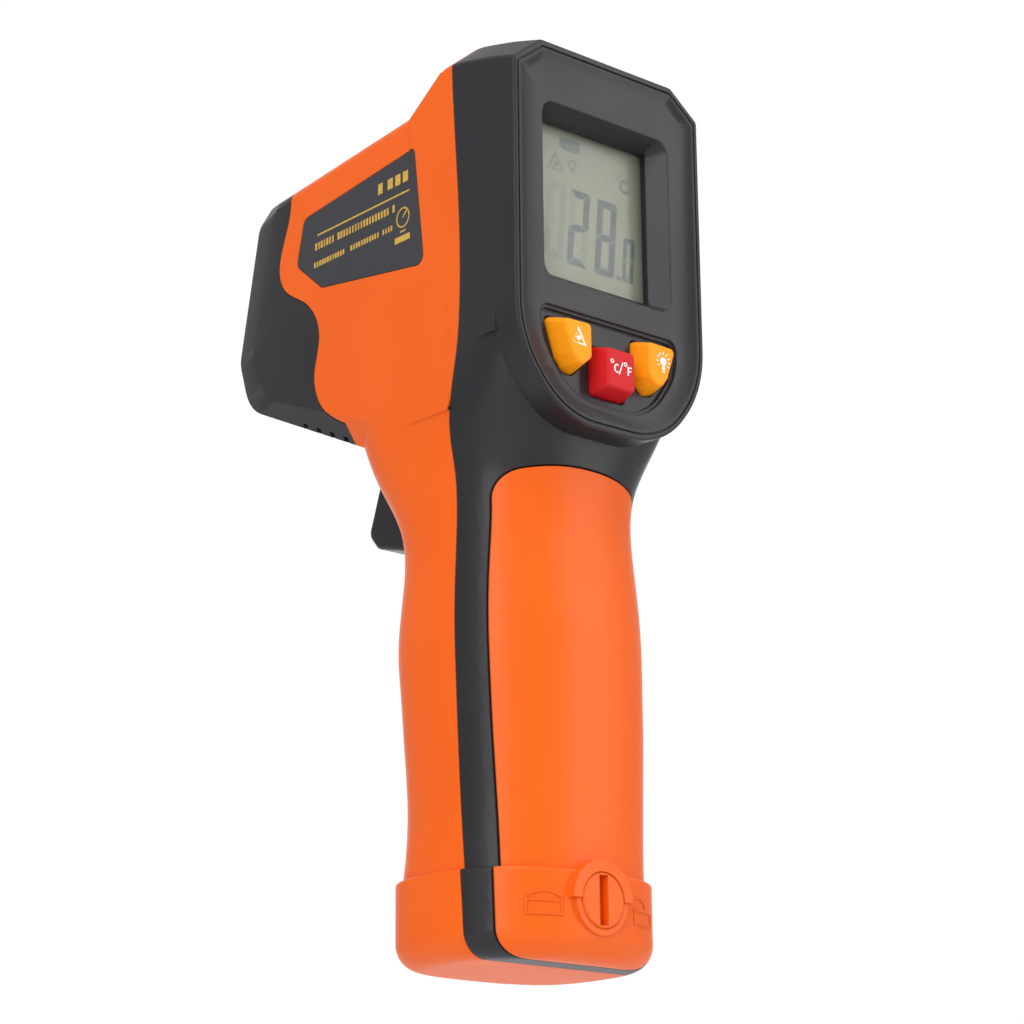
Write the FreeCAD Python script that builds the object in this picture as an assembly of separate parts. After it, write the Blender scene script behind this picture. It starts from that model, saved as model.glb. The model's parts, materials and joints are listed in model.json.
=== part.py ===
import FreeCAD, Part
import math
import os

# Infrared thermometer with a pistol grip.
# Modelled with x to the user's right, y forward along the barrel from the display panel, z up the
# handle. place_in_frame moves every piece so that the origin is the centre of the foot of the handle.

V = FreeCAD.Vector

# ---- housing, millimetres -------------------------------------------------------------------
base_z = -0.8                 # underside of the handle
base_centre_y = 22.8          # middle of the foot, becomes y = 0
wall = 2.0
seam_gap = 0.16               # open line between the two halves and round the nose cap

head_half_width = 22.1
head_top_z = 155.0
head_chamfer_x = 6.5
head_chamfer_z = 4.9
head_crown = 3.7              # how far the head's top rises towards the parting line
head_crown_y = 14.5
head_depth = 18.4
head_foot_z = 102.0
head_taper = 0.05             # how much each flank closes in for each millimetre forward
head_edge_radius = 1.2
panel_side_z = 99.5           # where the panel's straight side turns into its rounded foot
panel_foot_half = 12.0
panel_foot_z = 87.1
panel_depth = 5.0
panel_wall = 2.6
rim_height = 0.7
rim_slope_start = 1.9
rim_slope_end = 3.5
rim_groove_inset = 0.85
rim_groove_width = 0.35
rim_groove_depth = 0.35

barrel_rear_half = 21.5       # half width where the barrel leaves the head
barrel_front_half = 19.2      # half width where the muzzle bevel begins
barrel_taper_rear_y = 20.0
barrel_taper_front_y = 73.0
barrel_start_y = 17.2          # hidden in the head
barrel_edge_radius = 3.4       # along the barrel's two long top edges
barrel_edge_facets = 5
muzzle_half = 17.0
muzzle_bevel = 7.0            # length of the bevel round the muzzle
collar_y = 27.6               # foot of the slope that joins the head to the barrel's top
collar_top_z = 150.6
collar_corner_x = 3.4         # bevel between the collar's top and its flank
collar_corner_z = 3.0

boot_top_z = 13.6
boot_half_width = 20.9
boot_rear_y = 4.7
boot_front_y = 41.0
boot_rear_power = 2.5
boot_front_power = 2.8
section_points = 36
boot_bottom_radius = 4.4
boot_top_radius = 0.5

# ---- battery cover and its lock --------------------------------------------------------------
cover_edge_y = 12.7            # rim of the cover at its top
cover_edge_lean = 0.0235       # the rim comes back a little towards the foot
cover_top_z = 82.1
cover_shoulder_z = 79.2
cover_shoulder_x = 18.0
cover_corner_radius = 4.0
cover_gap = 0.3
lock_z = 8.9
lock_radius = 4.6
lock_clearance = 0.06
lock_face_y = 4.0
lock_depth = 4.4
lock_slot_width = 1.9
lock_slot_depth = 1.8
lock_ring_outer = 6.7
lock_ring_height = 0.75
lock_flange_radius = 5.6
lock_flange_thickness = 1.0

# ---- display ---------------------------------------------------------------------------------
window_z = 128.2
window_outer_half = 15.0
window_outer_height = 32.0
window_inner_half = 12.5
window_inner_height = 28.2
window_outer_radius = 3.4
window_inner_radius = 0.7
window_funnel_y = 3.2
window_boss_y = 4.4
pane_thickness = 0.8
lcd_half_width = 14.2
lcd_height = 32.4
lcd_thickness = 1.8
lcd_gap = 0.2
backlight_thickness = 1.4
strip_height = 2.0
frame_wall = 1.6
board_y = 9.6
board_thickness = 1.6
board_half_width = 18.4
board_foot_half = 13.4
board_step_z = 101.0
board_bottom_z = 89.6
board_top_z = 151.4

# ---- keys ------------------------------------------------------------------------------------
recess_half = 16.0
recess_top_z = 107.2
recess_side_z = 101.0
recess_foot_half = 9.0
recess_foot_z = 91.4
recess_step = 0.6
recess_depth = 1.1
key_travel = 0.8
key_clearance = 0.25
key_face_y = -2.7
key_draft = 0.9
key_edge_radius = 0.55
key_flange = 0.8
key_flange_thickness = 0.9
key_stem_radius = 1.6
switch_height = 2.2
switch_size = 6.0

# ---- trigger ---------------------------------------------------------------------------------
trigger_half_width = 7.0
trigger_clearance = 0.4
trigger_pivot_y = 44.2
trigger_pivot_z = 92.6
trigger_lug_radius = 2.4
trigger_pin_radius = 1.2
trigger_pin_half = 9.2
ear_thickness = 3.0
trigger_pin_clearance = 0.05
trigger_travel_deg = 12.0
trigger_switch_y = 33.0
trigger_switch_z = 84.1
plunger_gap = 0.3
plunger_length = 3.4
plunger_radius = 0.9

# ---- batteries -------------------------------------------------------------------------------
battery_radius = 5.25
battery_length = 44.5
battery_pitch = 11.4
battery_y = 19.6
battery_foot_z = 20.4
bay_wall = 1.2
bay_clearance = 0.35
terminal_radius = 1.9
terminal_height = 0.8
contact_spring_foot = 0.65     # height of the lowest coil above its plate
contact_spring_pitch = 0.58

# ---- optics and muzzle -----------------------------------------------------------------------
lens_z = 121.5
lens_bore_radius = 8.6
tube_outer_radius = 9.6
tube_inner_radius = 8.1
tube_rear_y = 48.0
tube_front_y = 73.0
lens_radius = 8.0
lens_thickness = 1.2
sensor_radius = 4.1
laser_z = 136.3
laser_radius = 3.0
laser_length = 17.0
laser_window_radius = 2.6

# ---- screws ----------------------------------------------------------------------------------
screw_radius = 1.3
screw_head_radius = 2.4
screw_head_height = 1.5
screw_fit = 0.03
boss_radius = 2.9
web_y = 13.4
web_thickness = 1.8


# ================================ helpers ======================================================
def box(x0, x1, y0, y1, z0, z1):
    return Part.makeBox(x1 - x0, y1 - y0, z1 - z0, V(x0, y0, z0))


def rod_y(x, z, radius, y0, y1):
    return Part.makeCylinder(radius, y1 - y0, V(x, y0, z), V(0, 1, 0))


def rod_x(y, z, radius, x0, x1):
    return Part.makeCylinder(radius, x1 - x0, V(x0, y, z), V(1, 0, 0))


def rod_z(x, y, radius, z0, z1):
    return Part.makeCylinder(radius, z1 - z0, V(x, y, z0), V(0, 0, 1))


def inset_corners(corners, distance):
    """Corners of a convex outline moved inwards by distance, or outwards when it is negative."""
    area = 0.0
    for (ax, ay), (bx, by) in zip(corners, corners[1:] + corners[:1]):
        area += ax * by - bx * ay
    side = 1.0 if area > 0 else -1.0
    lines = []
    for (ax, ay), (bx, by) in zip(corners, corners[1:] + corners[:1]):
        length = math.hypot(bx - ax, by - ay)
        ux, uy = (bx - ax) / length, (by - ay) / length
        lines.append((ax - side * uy * distance, ay + side * ux * distance, ux, uy))
    moved = []
    for (px, py, ux, uy), (qx, qy, vx, vy) in zip(lines[-1:] + lines[:-1], lines):
        step = ((qx - px) * vy - (qy - py) * vx) / (ux * vy - uy * vx)
        moved.append((px + step * ux, py + step * uy))
    return moved


def rounded_wire(corners, radii, to_space):
    """Closed outline of straight runs and tangent arcs, one radius for each corner."""
    runs = []
    for i, (x, y) in enumerate(corners):
        corner = V(x, y, 0)
        back = (V(*corners[i - 1], 0) - corner).normalize()
        ahead = (V(*corners[(i + 1) % len(corners)], 0) - corner).normalize()
        half = back.getAngle(ahead) / 2
        reach = radii[i] / math.tan(half)
        middle = (back + ahead).normalize() * (radii[i] / math.sin(half) - radii[i])
        runs.append((corner + back * reach, corner + middle, corner + ahead * reach, radii[i] > 0))
    edges = []
    for i, (start, middle, end, is_round) in enumerate(runs):
        if is_round:
            arc = Part.Arc(to_space(start.x, start.y), to_space(middle.x, middle.y), to_space(end.x, end.y))
            edges.append(arc.toShape())
        following = runs[(i + 1) % len(runs)][0]
        if end.distanceToPoint(following) > 1e-6:
            edges.append(Part.makeLine(to_space(end.x, end.y), to_space(following.x, following.y)))
    return Part.Wire(edges)


def at_x(x):
    return lambda y, z: V(x, y, z)


def at_y(y):
    return lambda x, z: V(x, y, z)


def less(radii, amount):
    return [max(radius - amount, 0.3) if radius > 0 else 0 for radius in radii]


def prism_y(corners, radii, y0, y1):
    return Part.Face(rounded_wire(corners, radii, at_y(y0))).extrude(V(0, y1 - y0, 0))


def prism_x(corners, radii, x0, x1):
    return Part.Face(rounded_wire(corners, radii, at_x(x0))).extrude(V(x1 - x0, 0, 0))


def loft(wires, ruled=False):
    return Part.makeLoft(wires, True, ruled)


def mirrored(corners):
    """The right-hand corners of an outline that is the same on both sides, made into the whole outline."""
    return corners + [(-x, z) for x, z in reversed(corners)]


def beyond(point, normal, size=300.0):
    """A large block on the side of the plane that normal points to."""
    block = Part.makeBox(size, size, size, V(-size / 2, -size / 2, 0))
    turn = FreeCAD.Rotation(V(0, 0, 1), normal)
    block.Placement = FreeCAD.Placement(point, turn)
    return block


def bounded_edges(shape, keep):
    """Edges whose whole length passes the test keep, tried at both ends and the middle."""
    chosen = []
    for edge in shape.Edges:
        first, last = edge.ParameterRange
        points = [edge.valueAt(first), edge.valueAt((first + last) / 2), edge.valueAt(last)]
        if all(keep(point) for point in points):
            chosen.append(edge)
    return chosen


def place_in_frame(shape):
    moved = shape.copy()
    moved.translate(V(0, -base_centre_y, -base_z))
    return moved


# ================================ outer form ===================================================
def grip_station(z, half_width, front_width, rear_y, front_y, rear_power, front_power, inset):
    """Closed smooth section of the handle; a higher power makes its corners squarer."""
    points = []
    middle_y = rear_y + (front_y - rear_y) * 0.5
    depth = (front_y - rear_y) / 2 - inset
    for i in range(section_points):
        angle = 2 * math.pi * (i + 0.5) / section_points
        across, along = math.cos(angle), math.sin(angle)
        power = front_power if along > 0 else rear_power
        reach = (abs(across) ** power + abs(along) ** power) ** (-1 / power)
        share = 0.5 + 0.5 * along * reach
        half = half_width + (front_width - half_width) * share - inset
        points.append(V(half * reach * across, middle_y + depth * reach * along, z))
    curve = Part.BSplineCurve()
    curve.interpolate(Points=points, PeriodicFlag=True)
    return Part.Wire([curve.toShape()])


def grip(inset=0.0):
    """The handle, from inside its boot up to where it dives into the head and the barrel."""
    stations = [
        # z, rear half width, front half width, rear y, front y, rear power, front power
        (base_z + 3.0, 20.0, 20.0, 6.0, 39.6, 2.45, 2.75),
        (16.0, 19.95, 19.95, 6.0, 39.3, 2.45, 2.75),
        (27.0, 19.9, 19.9, 5.8, 38.5, 2.45, 2.75),
        (38.0, 20.2, 20.2, 5.5, 39.4, 2.45, 2.75),
        (50.0, 20.5, 20.5, 5.5, 40.5, 2.45, 2.75),
        (62.0, 20.1, 20.1, 6.0, 39.8, 2.45, 2.75),
        (72.0, 19.4, 19.5, 6.8, 39.8, 2.45, 2.8),
        (80.0, 19.6, 19.6, 6.3, 43.4, 2.55, 3.0),
        (88.0, 20.9, 20.5, 4.4, 46.6, 3.4, 3.8),
        (96.0, 21.95, 20.85, 2.3, 47.9, 5.2, 4.8),
        (104.0, 22.15, 20.35, 0.9, 48.4, 7.0, 4.6),
        (112.0, 21.7, 19.9, 1.6, 48.4, 8.0, 5.0),
    ]
    return loft([grip_station(*station, inset) for station in stations])


def boot(inset=0.0):
    """The thicker foot of the handle."""
    foot = grip_station(base_z + inset, boot_half_width, boot_half_width, boot_rear_y, boot_front_y,
                        boot_rear_power, boot_front_power, inset)
    solid = Part.Face(foot).extrude(V(0, 0, boot_top_z - base_z - 2 * inset))
    low = bounded_edges(solid, lambda p: p.z < base_z + inset + 0.01)
    solid = solid.makeFillet(boot_bottom_radius - inset, low)
    if inset > 0:
        return solid
    high = bounded_edges(solid, lambda p: p.z > boot_top_z - 0.01)
    return solid.makeFillet(boot_top_radius, high)


def head_rise(y):
    along = min(y, head_crown_y) / head_crown_y
    return head_crown * along * (1.25 - 0.25 * along) - 0.1 * max(y - head_crown_y, 0)


def panel_corners(y):
    return mirrored([
        (head_half_width - head_chamfer_x, head_top_z + head_rise(y)),
        (head_half_width, head_top_z - head_chamfer_z + head_rise(y) * 0.9),
        (head_half_width, panel_side_z),
        (panel_foot_half, panel_foot_z),
    ])


panel_half_radii = [1.2, 1.2, 20.0, 16.5]     # top, shoulder, side and foot corners
panel_radii = panel_half_radii + panel_half_radii[::-1]


def panel_outline(y, inset):
    return rounded_wire(inset_corners(panel_corners(y), inset), less(panel_radii, inset), at_y(y))


def panel_block(inset=0.0):
    rear = -rim_height if inset == 0 else panel_wall
    return loft([panel_outline(rear, inset), panel_outline(panel_depth, inset)], True)


def head_corners(y):
    """Corners of the head behind the panel; its top rises and its flanks close in a little going forward."""
    rise = head_rise(y)
    return mirrored([
        (head_half_width - head_chamfer_x, head_top_z + rise),
        (head_half_width, head_top_z - head_chamfer_z + rise * 0.9),
        (head_half_width - head_taper * max(y - panel_depth, 0), head_foot_z),
    ])


def head_outline(y, inset):
    soft = head_edge_radius
    radii = less([soft, soft, 0, 0, soft, soft], inset)
    return rounded_wire(inset_corners(head_corners(y), inset), radii, at_y(y))


def head(inset=0.0):
    stations = [panel_depth, 8.0, 11.0, head_crown_y, head_depth]
    if inset > 0:
        stations[-1] = head_depth + 0.5
    return loft([head_outline(y, inset) for y in stations])


def collar(inset=0.0):
    """Flat-sided slope from the head down to the top and flanks of the barrel."""
    drop = (barrel_rear_half - barrel_front_half) / (barrel_taper_front_y - barrel_taper_rear_y)
    end_half = barrel_rear_half - drop * (collar_y - barrel_taper_rear_y)
    near = inset_corners(head_corners(head_depth), inset)[:3]
    far = [
        (end_half - collar_corner_x - inset, collar_top_z - inset),
        (end_half - inset, collar_top_z - collar_corner_z - inset),
        (end_half - inset, head_foot_z),
    ]
    near = [(0, near[0][1])] + near
    far = [(0, far[0][1])] + far
    solid = box(-30, 30, head_depth, collar_y, head_foot_z + inset, 170)
    for i in range(3):
        (ax, az), (bx, bz) = near[i], near[i + 1]
        middle_x, middle_z = (far[i][0] + far[i + 1][0]) / 2, (far[i][1] + far[i + 1][1]) / 2
        edge = V(bx - ax, 0, bz - az)
        slope = V(middle_x - ax, collar_y - head_depth, middle_z - az)
        normal = edge.cross(slope).normalize()
        normal = normal if normal.z + normal.x > 0 else normal * -1
        solid = solid.cut(beyond(V(ax, head_depth, az), normal))
        solid = solid.cut(beyond(V(-ax, head_depth, az), V(-normal.x, normal.y, normal.z)))
    return solid


def barrel_profile():
    start = barrel_start_y
    return [
        (start, 151.4),
        (72.0, 146.6),
        (76.7, 143.0),
        (82.1, 117.5),
        (79.0, 107.6),
        (43.3, 91.3),
        (start, 91.3),
    ]


barrel_radii = [0, 2.5, 3.0, 5.0, 9.0, 3.0, 0]


def faceted(corners, radii, step_deg=9.0):
    """Outline whose round corners are short straight runs, so that every face drawn from it is flat."""
    points = []
    for i, (x, y) in enumerate(corners):
        if radii[i] == 0:
            points.append((x, y))
            continue
        corner = V(x, y, 0)
        back = (V(*corners[i - 1], 0) - corner).normalize()
        ahead = (V(*corners[(i + 1) % len(corners)], 0) - corner).normalize()
        half = back.getAngle(ahead) / 2
        centre = corner + (back + ahead).normalize() * (radii[i] / math.sin(half))
        start = corner + back * (radii[i] / math.tan(half)) - centre
        sweep = math.pi - 2 * half
        way = 1 if start.cross(ahead).z > 0 else -1
        count = max(2, round(math.degrees(sweep) / step_deg))
        for k in range(count + 1):
            turn = FreeCAD.Rotation(V(0, 0, 1), math.degrees(way * sweep * k / count))
            point = centre + turn.multVec(start)
            points.append((point.x, point.y))
    return points


def barrel(inset=0.0):
    """Extruded side profile, tapered towards the muzzle, with one long bevel round the muzzle."""
    points = faceted(inset_corners(barrel_profile(), inset), less(barrel_radii, inset))
    half = barrel_rear_half + 1
    outline = Part.makePolygon([V(-half, y, z) for y, z in points + points[:1]])
    solid = Part.Face(outline).extrude(V(2 * half, 0, 0))
    run = barrel_taper_front_y - barrel_taper_rear_y
    for side in (-1, 1):
        outward = V(side * run, barrel_rear_half - barrel_front_half, 0).normalize()
        on_flank = V(side * barrel_rear_half, barrel_taper_rear_y, 0) - outward * inset
        solid = solid.cut(beyond(on_flank, outward))
        slope = V(side * (barrel_front_half - muzzle_half), -muzzle_bevel, 0)
        for (y0, z0), (y1, z1) in zip(points, points[1:]):
            if max(y0, y1) < barrel_start_y + 1:
                continue
            normal = V(0, y1 - y0, z1 - z0).cross(slope).normalize()
            middle = V(0, (y0 + y1) / 2, (z0 + z1) / 2)
            outside = middle - V(0, 50, 122)
            normal = normal if normal.dot(outside) > 0 else normal * -1
            on_bevel = V(side * (muzzle_half - inset * 0.7), middle.y, middle.z)
            solid = solid.cut(beyond(on_bevel, normal))
    if inset > 0:
        return solid
    return round_barrel_top(solid)


def round_barrel_top(solid):
    """Takes the corner off both long top edges with facets that follow a small radius."""
    rear = V(barrel_rear_half + 0.25, 14.0, 150.6)
    front = V(barrel_front_half + 0.1, 72.0, 146.0)
    for side in (-1, 1):
        along = V(side * (front.x - rear.x), front.y - rear.y, front.z - rear.z).normalize()
        flank = V(side, 0, 0)
        flank = (flank - along * flank.dot(along)).normalize()
        up = along.cross(flank) * (-side)
        up = up if up.z > 0 else up * -1
        centre = V(side * rear.x, rear.y, rear.z) - (flank + up) * barrel_edge_radius
        for i in range(1, barrel_edge_facets):
            angle = math.pi / 2 * i / barrel_edge_facets
            normal = up * math.cos(angle) + flank * math.sin(angle)
            solid = solid.cut(beyond(centre + normal * barrel_edge_radius, normal))
    return solid


def outer_form():
    panel = panel_block()
    front_edges = bounded_edges(panel, lambda p: p.y < -rim_height + 0.01)
    panel = panel.makeFillet(0.5, front_edges)
    form = grip()
    for piece in (boot(), head(), panel, collar(), barrel()):
        form = form.fuse(piece)
    return form.removeSplitter()


def inner_pieces(inset):
    """The hollow inside the walls, as the blocks that are cut away one after another."""
    grip_core = grip(inset).common(box(-40, 40, panel_wall, 60, base_z + 4, 130))
    return [grip_core, boot(inset), head(inset), panel_block(inset), collar(inset), barrel(inset)]


def hollowed(solid, inset):
    for piece in inner_pieces(inset):
        solid = solid.cut(piece)
    return solid


def parting_points():
    """The seam between the two halves seen from the side, as y and z from the top down."""
    return [
        (13.9, 175.0),
        (13.9, 125.0),
        (14.1, 109.0),
        (15.6, 98.0),
        (17.8, 89.5),
        (18.3, 80.0),
        (17.9, 63.0),
        (17.4, 42.0),
        (16.9, 22.0),
        (16.0, 8.0),
        (15.9, -10.0),
    ]


def rear_side(shift):
    """Everything behind the parting line."""
    curve = Part.BSplineCurve()
    curve.interpolate([V(-60, y + shift, z) for y, z in parting_points()])
    first = V(-60, parting_points()[0][0] + shift, parting_points()[0][1])
    last = V(-60, parting_points()[-1][0] + shift, parting_points()[-1][1])
    corners = [last, V(-60, -30, last.z), V(-60, -30, first.z), first]
    edges = [curve.toShape()]
    for a, b in zip(corners, corners[1:]):
        edges.append(Part.makeLine(a, b))
    return Part.Face(Part.Wire(edges)).extrude(V(120, 0, 0))


def nose_side(grow):
    """Everything in front of and below the seam of the nose cap; grow moves the seam back into the flank."""
    seam = [(64.3, 146.0), (65.4, 137.5), (67.2, 130.3), (65.9, 127.2), (58.8, 122.2), (54.6, 114.4),
            (56.0, 107.6), (54.2, 101.9), (48.6, 97.2), (38.2, 92.4)]
    curve = Part.BSplineCurve()
    curve.interpolate([V(-60, y - grow, z + grow * 0.5) for y, z in seam])
    start = V(-60, seam[0][0] - grow, seam[0][1] + grow * 0.5)
    end = V(-60, seam[-1][0] - grow, seam[-1][1] + grow * 0.5)
    corners = [end, V(-60, end.y, 70), V(-60, 110, 70), V(-60, 110, 175), V(-60, start.y, 175), start]
    edges = [curve.toShape()]
    for a, b in zip(corners, corners[1:]):
        edges.append(Part.makeLine(a, b))
    return Part.Face(Part.Wire(edges)).extrude(V(120, 0, 0))


def grip_front_keepout():
    """The nose cap stops at the front of the handle."""
    return box(-40, 40, -10, 47.4, 60, 102.0)


def label_block(inset, side):
    corners = [(59.4, 138.9), (26.2, 141.9), (23.8, 119.5), (53.8, 124.0), (61.6, 130.4)]
    radii = [1.6, 1.2, 1.6, 1.6, 1.6]
    x0, x1 = (8, 40) if side > 0 else (-40, -8)
    return prism_x(inset_corners(corners, inset), less(radii, inset), x0, x1)


def cover_block(grow):
    """The space that the battery cover fills, grown by the gap for the opening in the housing."""
    top = cover_top_z + grow
    shoulder = cover_shoulder_z + grow
    arch = Part.Arc(V(cover_shoulder_x, -20, shoulder), V(0, -20, top), V(-cover_shoulder_x, -20, shoulder))
    wide = 30.0
    fall = (cover_top_z - cover_shoulder_z) / cover_shoulder_x * 2 * (wide - cover_shoulder_x)
    corners = [V(-cover_shoulder_x, -20, shoulder), V(-wide, -20, shoulder - fall), V(-wide, -20, -20),
               V(wide, -20, -20), V(wide, -20, shoulder - fall), V(cover_shoulder_x, -20, shoulder)]
    edges = [arch.toShape()]
    for a, b in zip(corners, corners[1:]):
        edges.append(Part.makeLine(a, b))
    block = Part.Face(Part.Wire(edges)).extrude(V(0, cover_edge_y + 30, 0))
    on_rim = V(0, cover_edge_y + grow, cover_top_z)
    forward = V(0, 1, -cover_edge_lean).normalize()
    block = block.cut(beyond(on_rim, forward))
    rim = bounded_edges(block, lambda p: abs((p - on_rim).dot(forward)) < 0.01 and p.z > 30)
    return block.makeFillet(cover_corner_radius + grow, rim)


# ================================ shells =======================================================
def window_funnel():
    height0 = window_outer_height / 2
    height1 = window_inner_height / 2
    outer = [(window_outer_half, window_z + height0), (window_outer_half, window_z - height0)]
    inner = [(window_inner_half, window_z + height1), (window_inner_half, window_z - height1)]
    # the slope is carried on past the panel's face so that the cut is clean
    steepness = (window_outer_half - window_inner_half) / window_funnel_y
    ahead = inset_corners(mirrored(outer), -steepness * 1.0)
    mouth = rounded_wire(ahead, [window_outer_radius] * 4, at_y(-1.0))
    throat = rounded_wire(mirrored(inner), [window_inner_radius] * 4, at_y(window_funnel_y))
    return loft([mouth, throat], True)


def display_hole():
    half, height = window_inner_half, window_inner_height / 2
    return box(-half, half, 0, window_boss_y + 1, window_z - height, window_z + height)


def recess_wire(inset, y):
    corners = mirrored([
        (recess_half, recess_top_z),
        (recess_half, recess_side_z),
        (recess_foot_half, recess_foot_z),
    ])
    radii = [2.0, 11.0, 12.0, 12.0, 11.0, 2.0]
    return rounded_wire(inset_corners(corners, inset), less(radii, inset), at_y(y))


def panel_details(shell):
    """Rim, groove, sloped window surround and the stepped recess of the keys."""
    dish = loft([panel_outline(-rim_height - 0.01, rim_slope_start), panel_outline(0, rim_slope_end)], True)
    shell = shell.cut(dish)
    groove_y = -rim_height - 0.5
    groove = Part.Face(panel_outline(groove_y, rim_groove_inset)).extrude(V(0, 0.5 + rim_groove_depth, 0))
    inner = Part.Face(panel_outline(groove_y, rim_groove_inset + rim_groove_width)).extrude(V(0, 2, 0))
    shell = shell.cut(groove.cut(inner))
    half, height = window_outer_half + 2.2, window_outer_height / 2 + 2.2
    boss = box(-half, half, panel_wall - 0.5, window_boss_y, window_z - height, window_z + height)
    shell = shell.fuse(boss)
    shell = shell.cut(window_funnel()).cut(display_hole())
    outer = Part.Face(recess_wire(0, -0.5)).extrude(V(0, 0.5 + recess_depth * 0.45, 0))
    deeper = Part.Face(recess_wire(recess_step, -0.5)).extrude(V(0, 0.5 + recess_depth, 0))
    return shell.cut(outer).cut(deeper)


def side_key_corners(side):
    corners = [(-14.3, 105.2), (-5.9, 105.4), (-5.9, 98.2), (-8.4, 96.1), (-10.4, 96.5), (-11.9, 98.4)]
    return [(-side * x, z) for x, z in corners]


def centre_key_corners():
    return mirrored([(4.0, 102.2), (4.0, 93.5)])


def key_corners():
    return {
        "laser_button": side_key_corners(-1),
        "unit_button": centre_key_corners(),
        "backlight_button": side_key_corners(1),
    }


def key_centre(corners):
    x = sum(x for x, _ in corners) / len(corners)
    z = sum(z for _, z in corners) / len(corners)
    return x, z


def key(corners):
    radii = [0.9] * len(corners)
    foot_y = recess_depth - 0.1
    face = rounded_wire(inset_corners(corners, key_draft), [0.9] * len(corners), at_y(key_face_y))
    foot = rounded_wire(corners, radii, at_y(foot_y))
    cap = loft([face, foot], True)
    edges = bounded_edges(cap, lambda p: p.y < key_face_y + 0.01)
    cap = cap.makeFillet(key_edge_radius, edges)
    flange_y = panel_wall + 0.15
    neck = prism_y(corners, radii, foot_y, flange_y)
    flange = prism_y(inset_corners(corners, -key_flange), radii, flange_y, flange_y + key_flange_thickness)
    x, z = key_centre(corners)
    stem_end = board_y - switch_height - key_travel - 0.1
    stem = rod_y(x, z, key_stem_radius, flange_y, stem_end)
    return cap.fuse(neck).fuse(flange).fuse(stem).removeSplitter()


def screw_places():
    return [(-10.6, 6.8), (10.6, 6.8), (-9.5, 74.0), (9.5, 74.0)]


def board_screw_places():
    return [(-10.6, 91.8), (10.6, 91.8), (-16.6, 149.2), (16.6, 149.2)]


def rear_housing(form):
    shell = hollowed(form().common(rear_side(-seam_gap / 2)), wall)
    shell = panel_details(shell)
    web = box(-30, 30, web_y, web_y + web_thickness, base_z + 1, 16.0)
    web = web.fuse(box(-30, 30, web_y, web_y + web_thickness, 70.6, 84.0)).common(form())
    shell = shell.fuse(web)
    shell = shell.cut(cover_block(cover_gap).common(box(-40, 40, -20, web_y, -20, 100)))
    for corners in key_corners().values():
        hole = inset_corners(corners, -key_clearance)
        shell = shell.cut(prism_y(hole, [1.0] * len(hole), 0, panel_wall + 0.1))
    for x, z in board_screw_places():
        shell = shell.fuse(rod_y(x, z, 2.1, panel_wall - 0.4, board_y))
        shell = shell.cut(rod_y(x, z, 0.95, board_y - 5, board_y + 1))
    for x, z in screw_places():
        shell = shell.cut(rod_y(x, z, screw_radius + 0.2, web_y - 1, web_y + web_thickness + 1))
    return shell.removeSplitter()


def trigger_corners():
    return [(41.6, 94.6), (46.6, 92.6), (52.4, 91.4), (56.4, 80.2), (54.0, 77.4), (43.2, 74.6), (41.2, 80.0)]


def trigger_slot():
    corners = inset_corners(trigger_corners(), -trigger_clearance)
    half = trigger_half_width + trigger_clearance
    slot = prism_x(corners, [0] * len(corners), -half, half)
    swing = slot.copy()
    swing.rotate(V(0, trigger_pivot_y, trigger_pivot_z), V(1, 0, 0), -trigger_travel_deg)
    behind = box(-half, half, 34.5, 44.0, 74.2, 97.0)
    lug_room = rod_x(trigger_pivot_y, trigger_pivot_z, trigger_lug_radius + trigger_clearance, -half, half)
    return slot.fuse(swing).fuse(behind).fuse(lug_room)


def front_housing(form):
    front = form().cut(rear_side(seam_gap / 2))
    nose_cut = nose_side(seam_gap).cut(grip_front_keepout())
    shell = hollowed(front.cut(nose_cut), wall)
    shell = shell.cut(trigger_slot())
    y, z = trigger_pivot_y, trigger_pivot_z
    for side in (-1, 1):
        # ears that carry the ends of the trigger's pin
        ear_x = trigger_half_width + trigger_clearance
        x0, x1 = (ear_x, ear_x + ear_thickness) if side > 0 else (-ear_x - ear_thickness, -ear_x)
        ear = box(x0, x1, y - 3.2, y + 4.4, z - 5.0, z + 4.0).common(form()).cut(nose_cut)
        shell = shell.fuse(ear)
    pin_half = trigger_pin_half + 0.2
    shell = shell.cut(rod_x(y, z, trigger_pin_radius + trigger_pin_clearance, -pin_half, pin_half))
    for x, z in screw_places():
        boss = rod_y(x, z, boss_radius, web_y + web_thickness + seam_gap, 38.5).common(form())
        boss = boss.cut(rear_side(seam_gap / 2))
        shell = shell.fuse(boss)
        shell = shell.cut(rod_y(x, z, screw_radius + screw_fit, web_y, web_y + 15.5))
    recess_floor = barrel(0.95)
    for side in (-1, 1):
        shell = shell.cut(label_block(-0.12, side).cut(recess_floor))
    return shell


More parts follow.
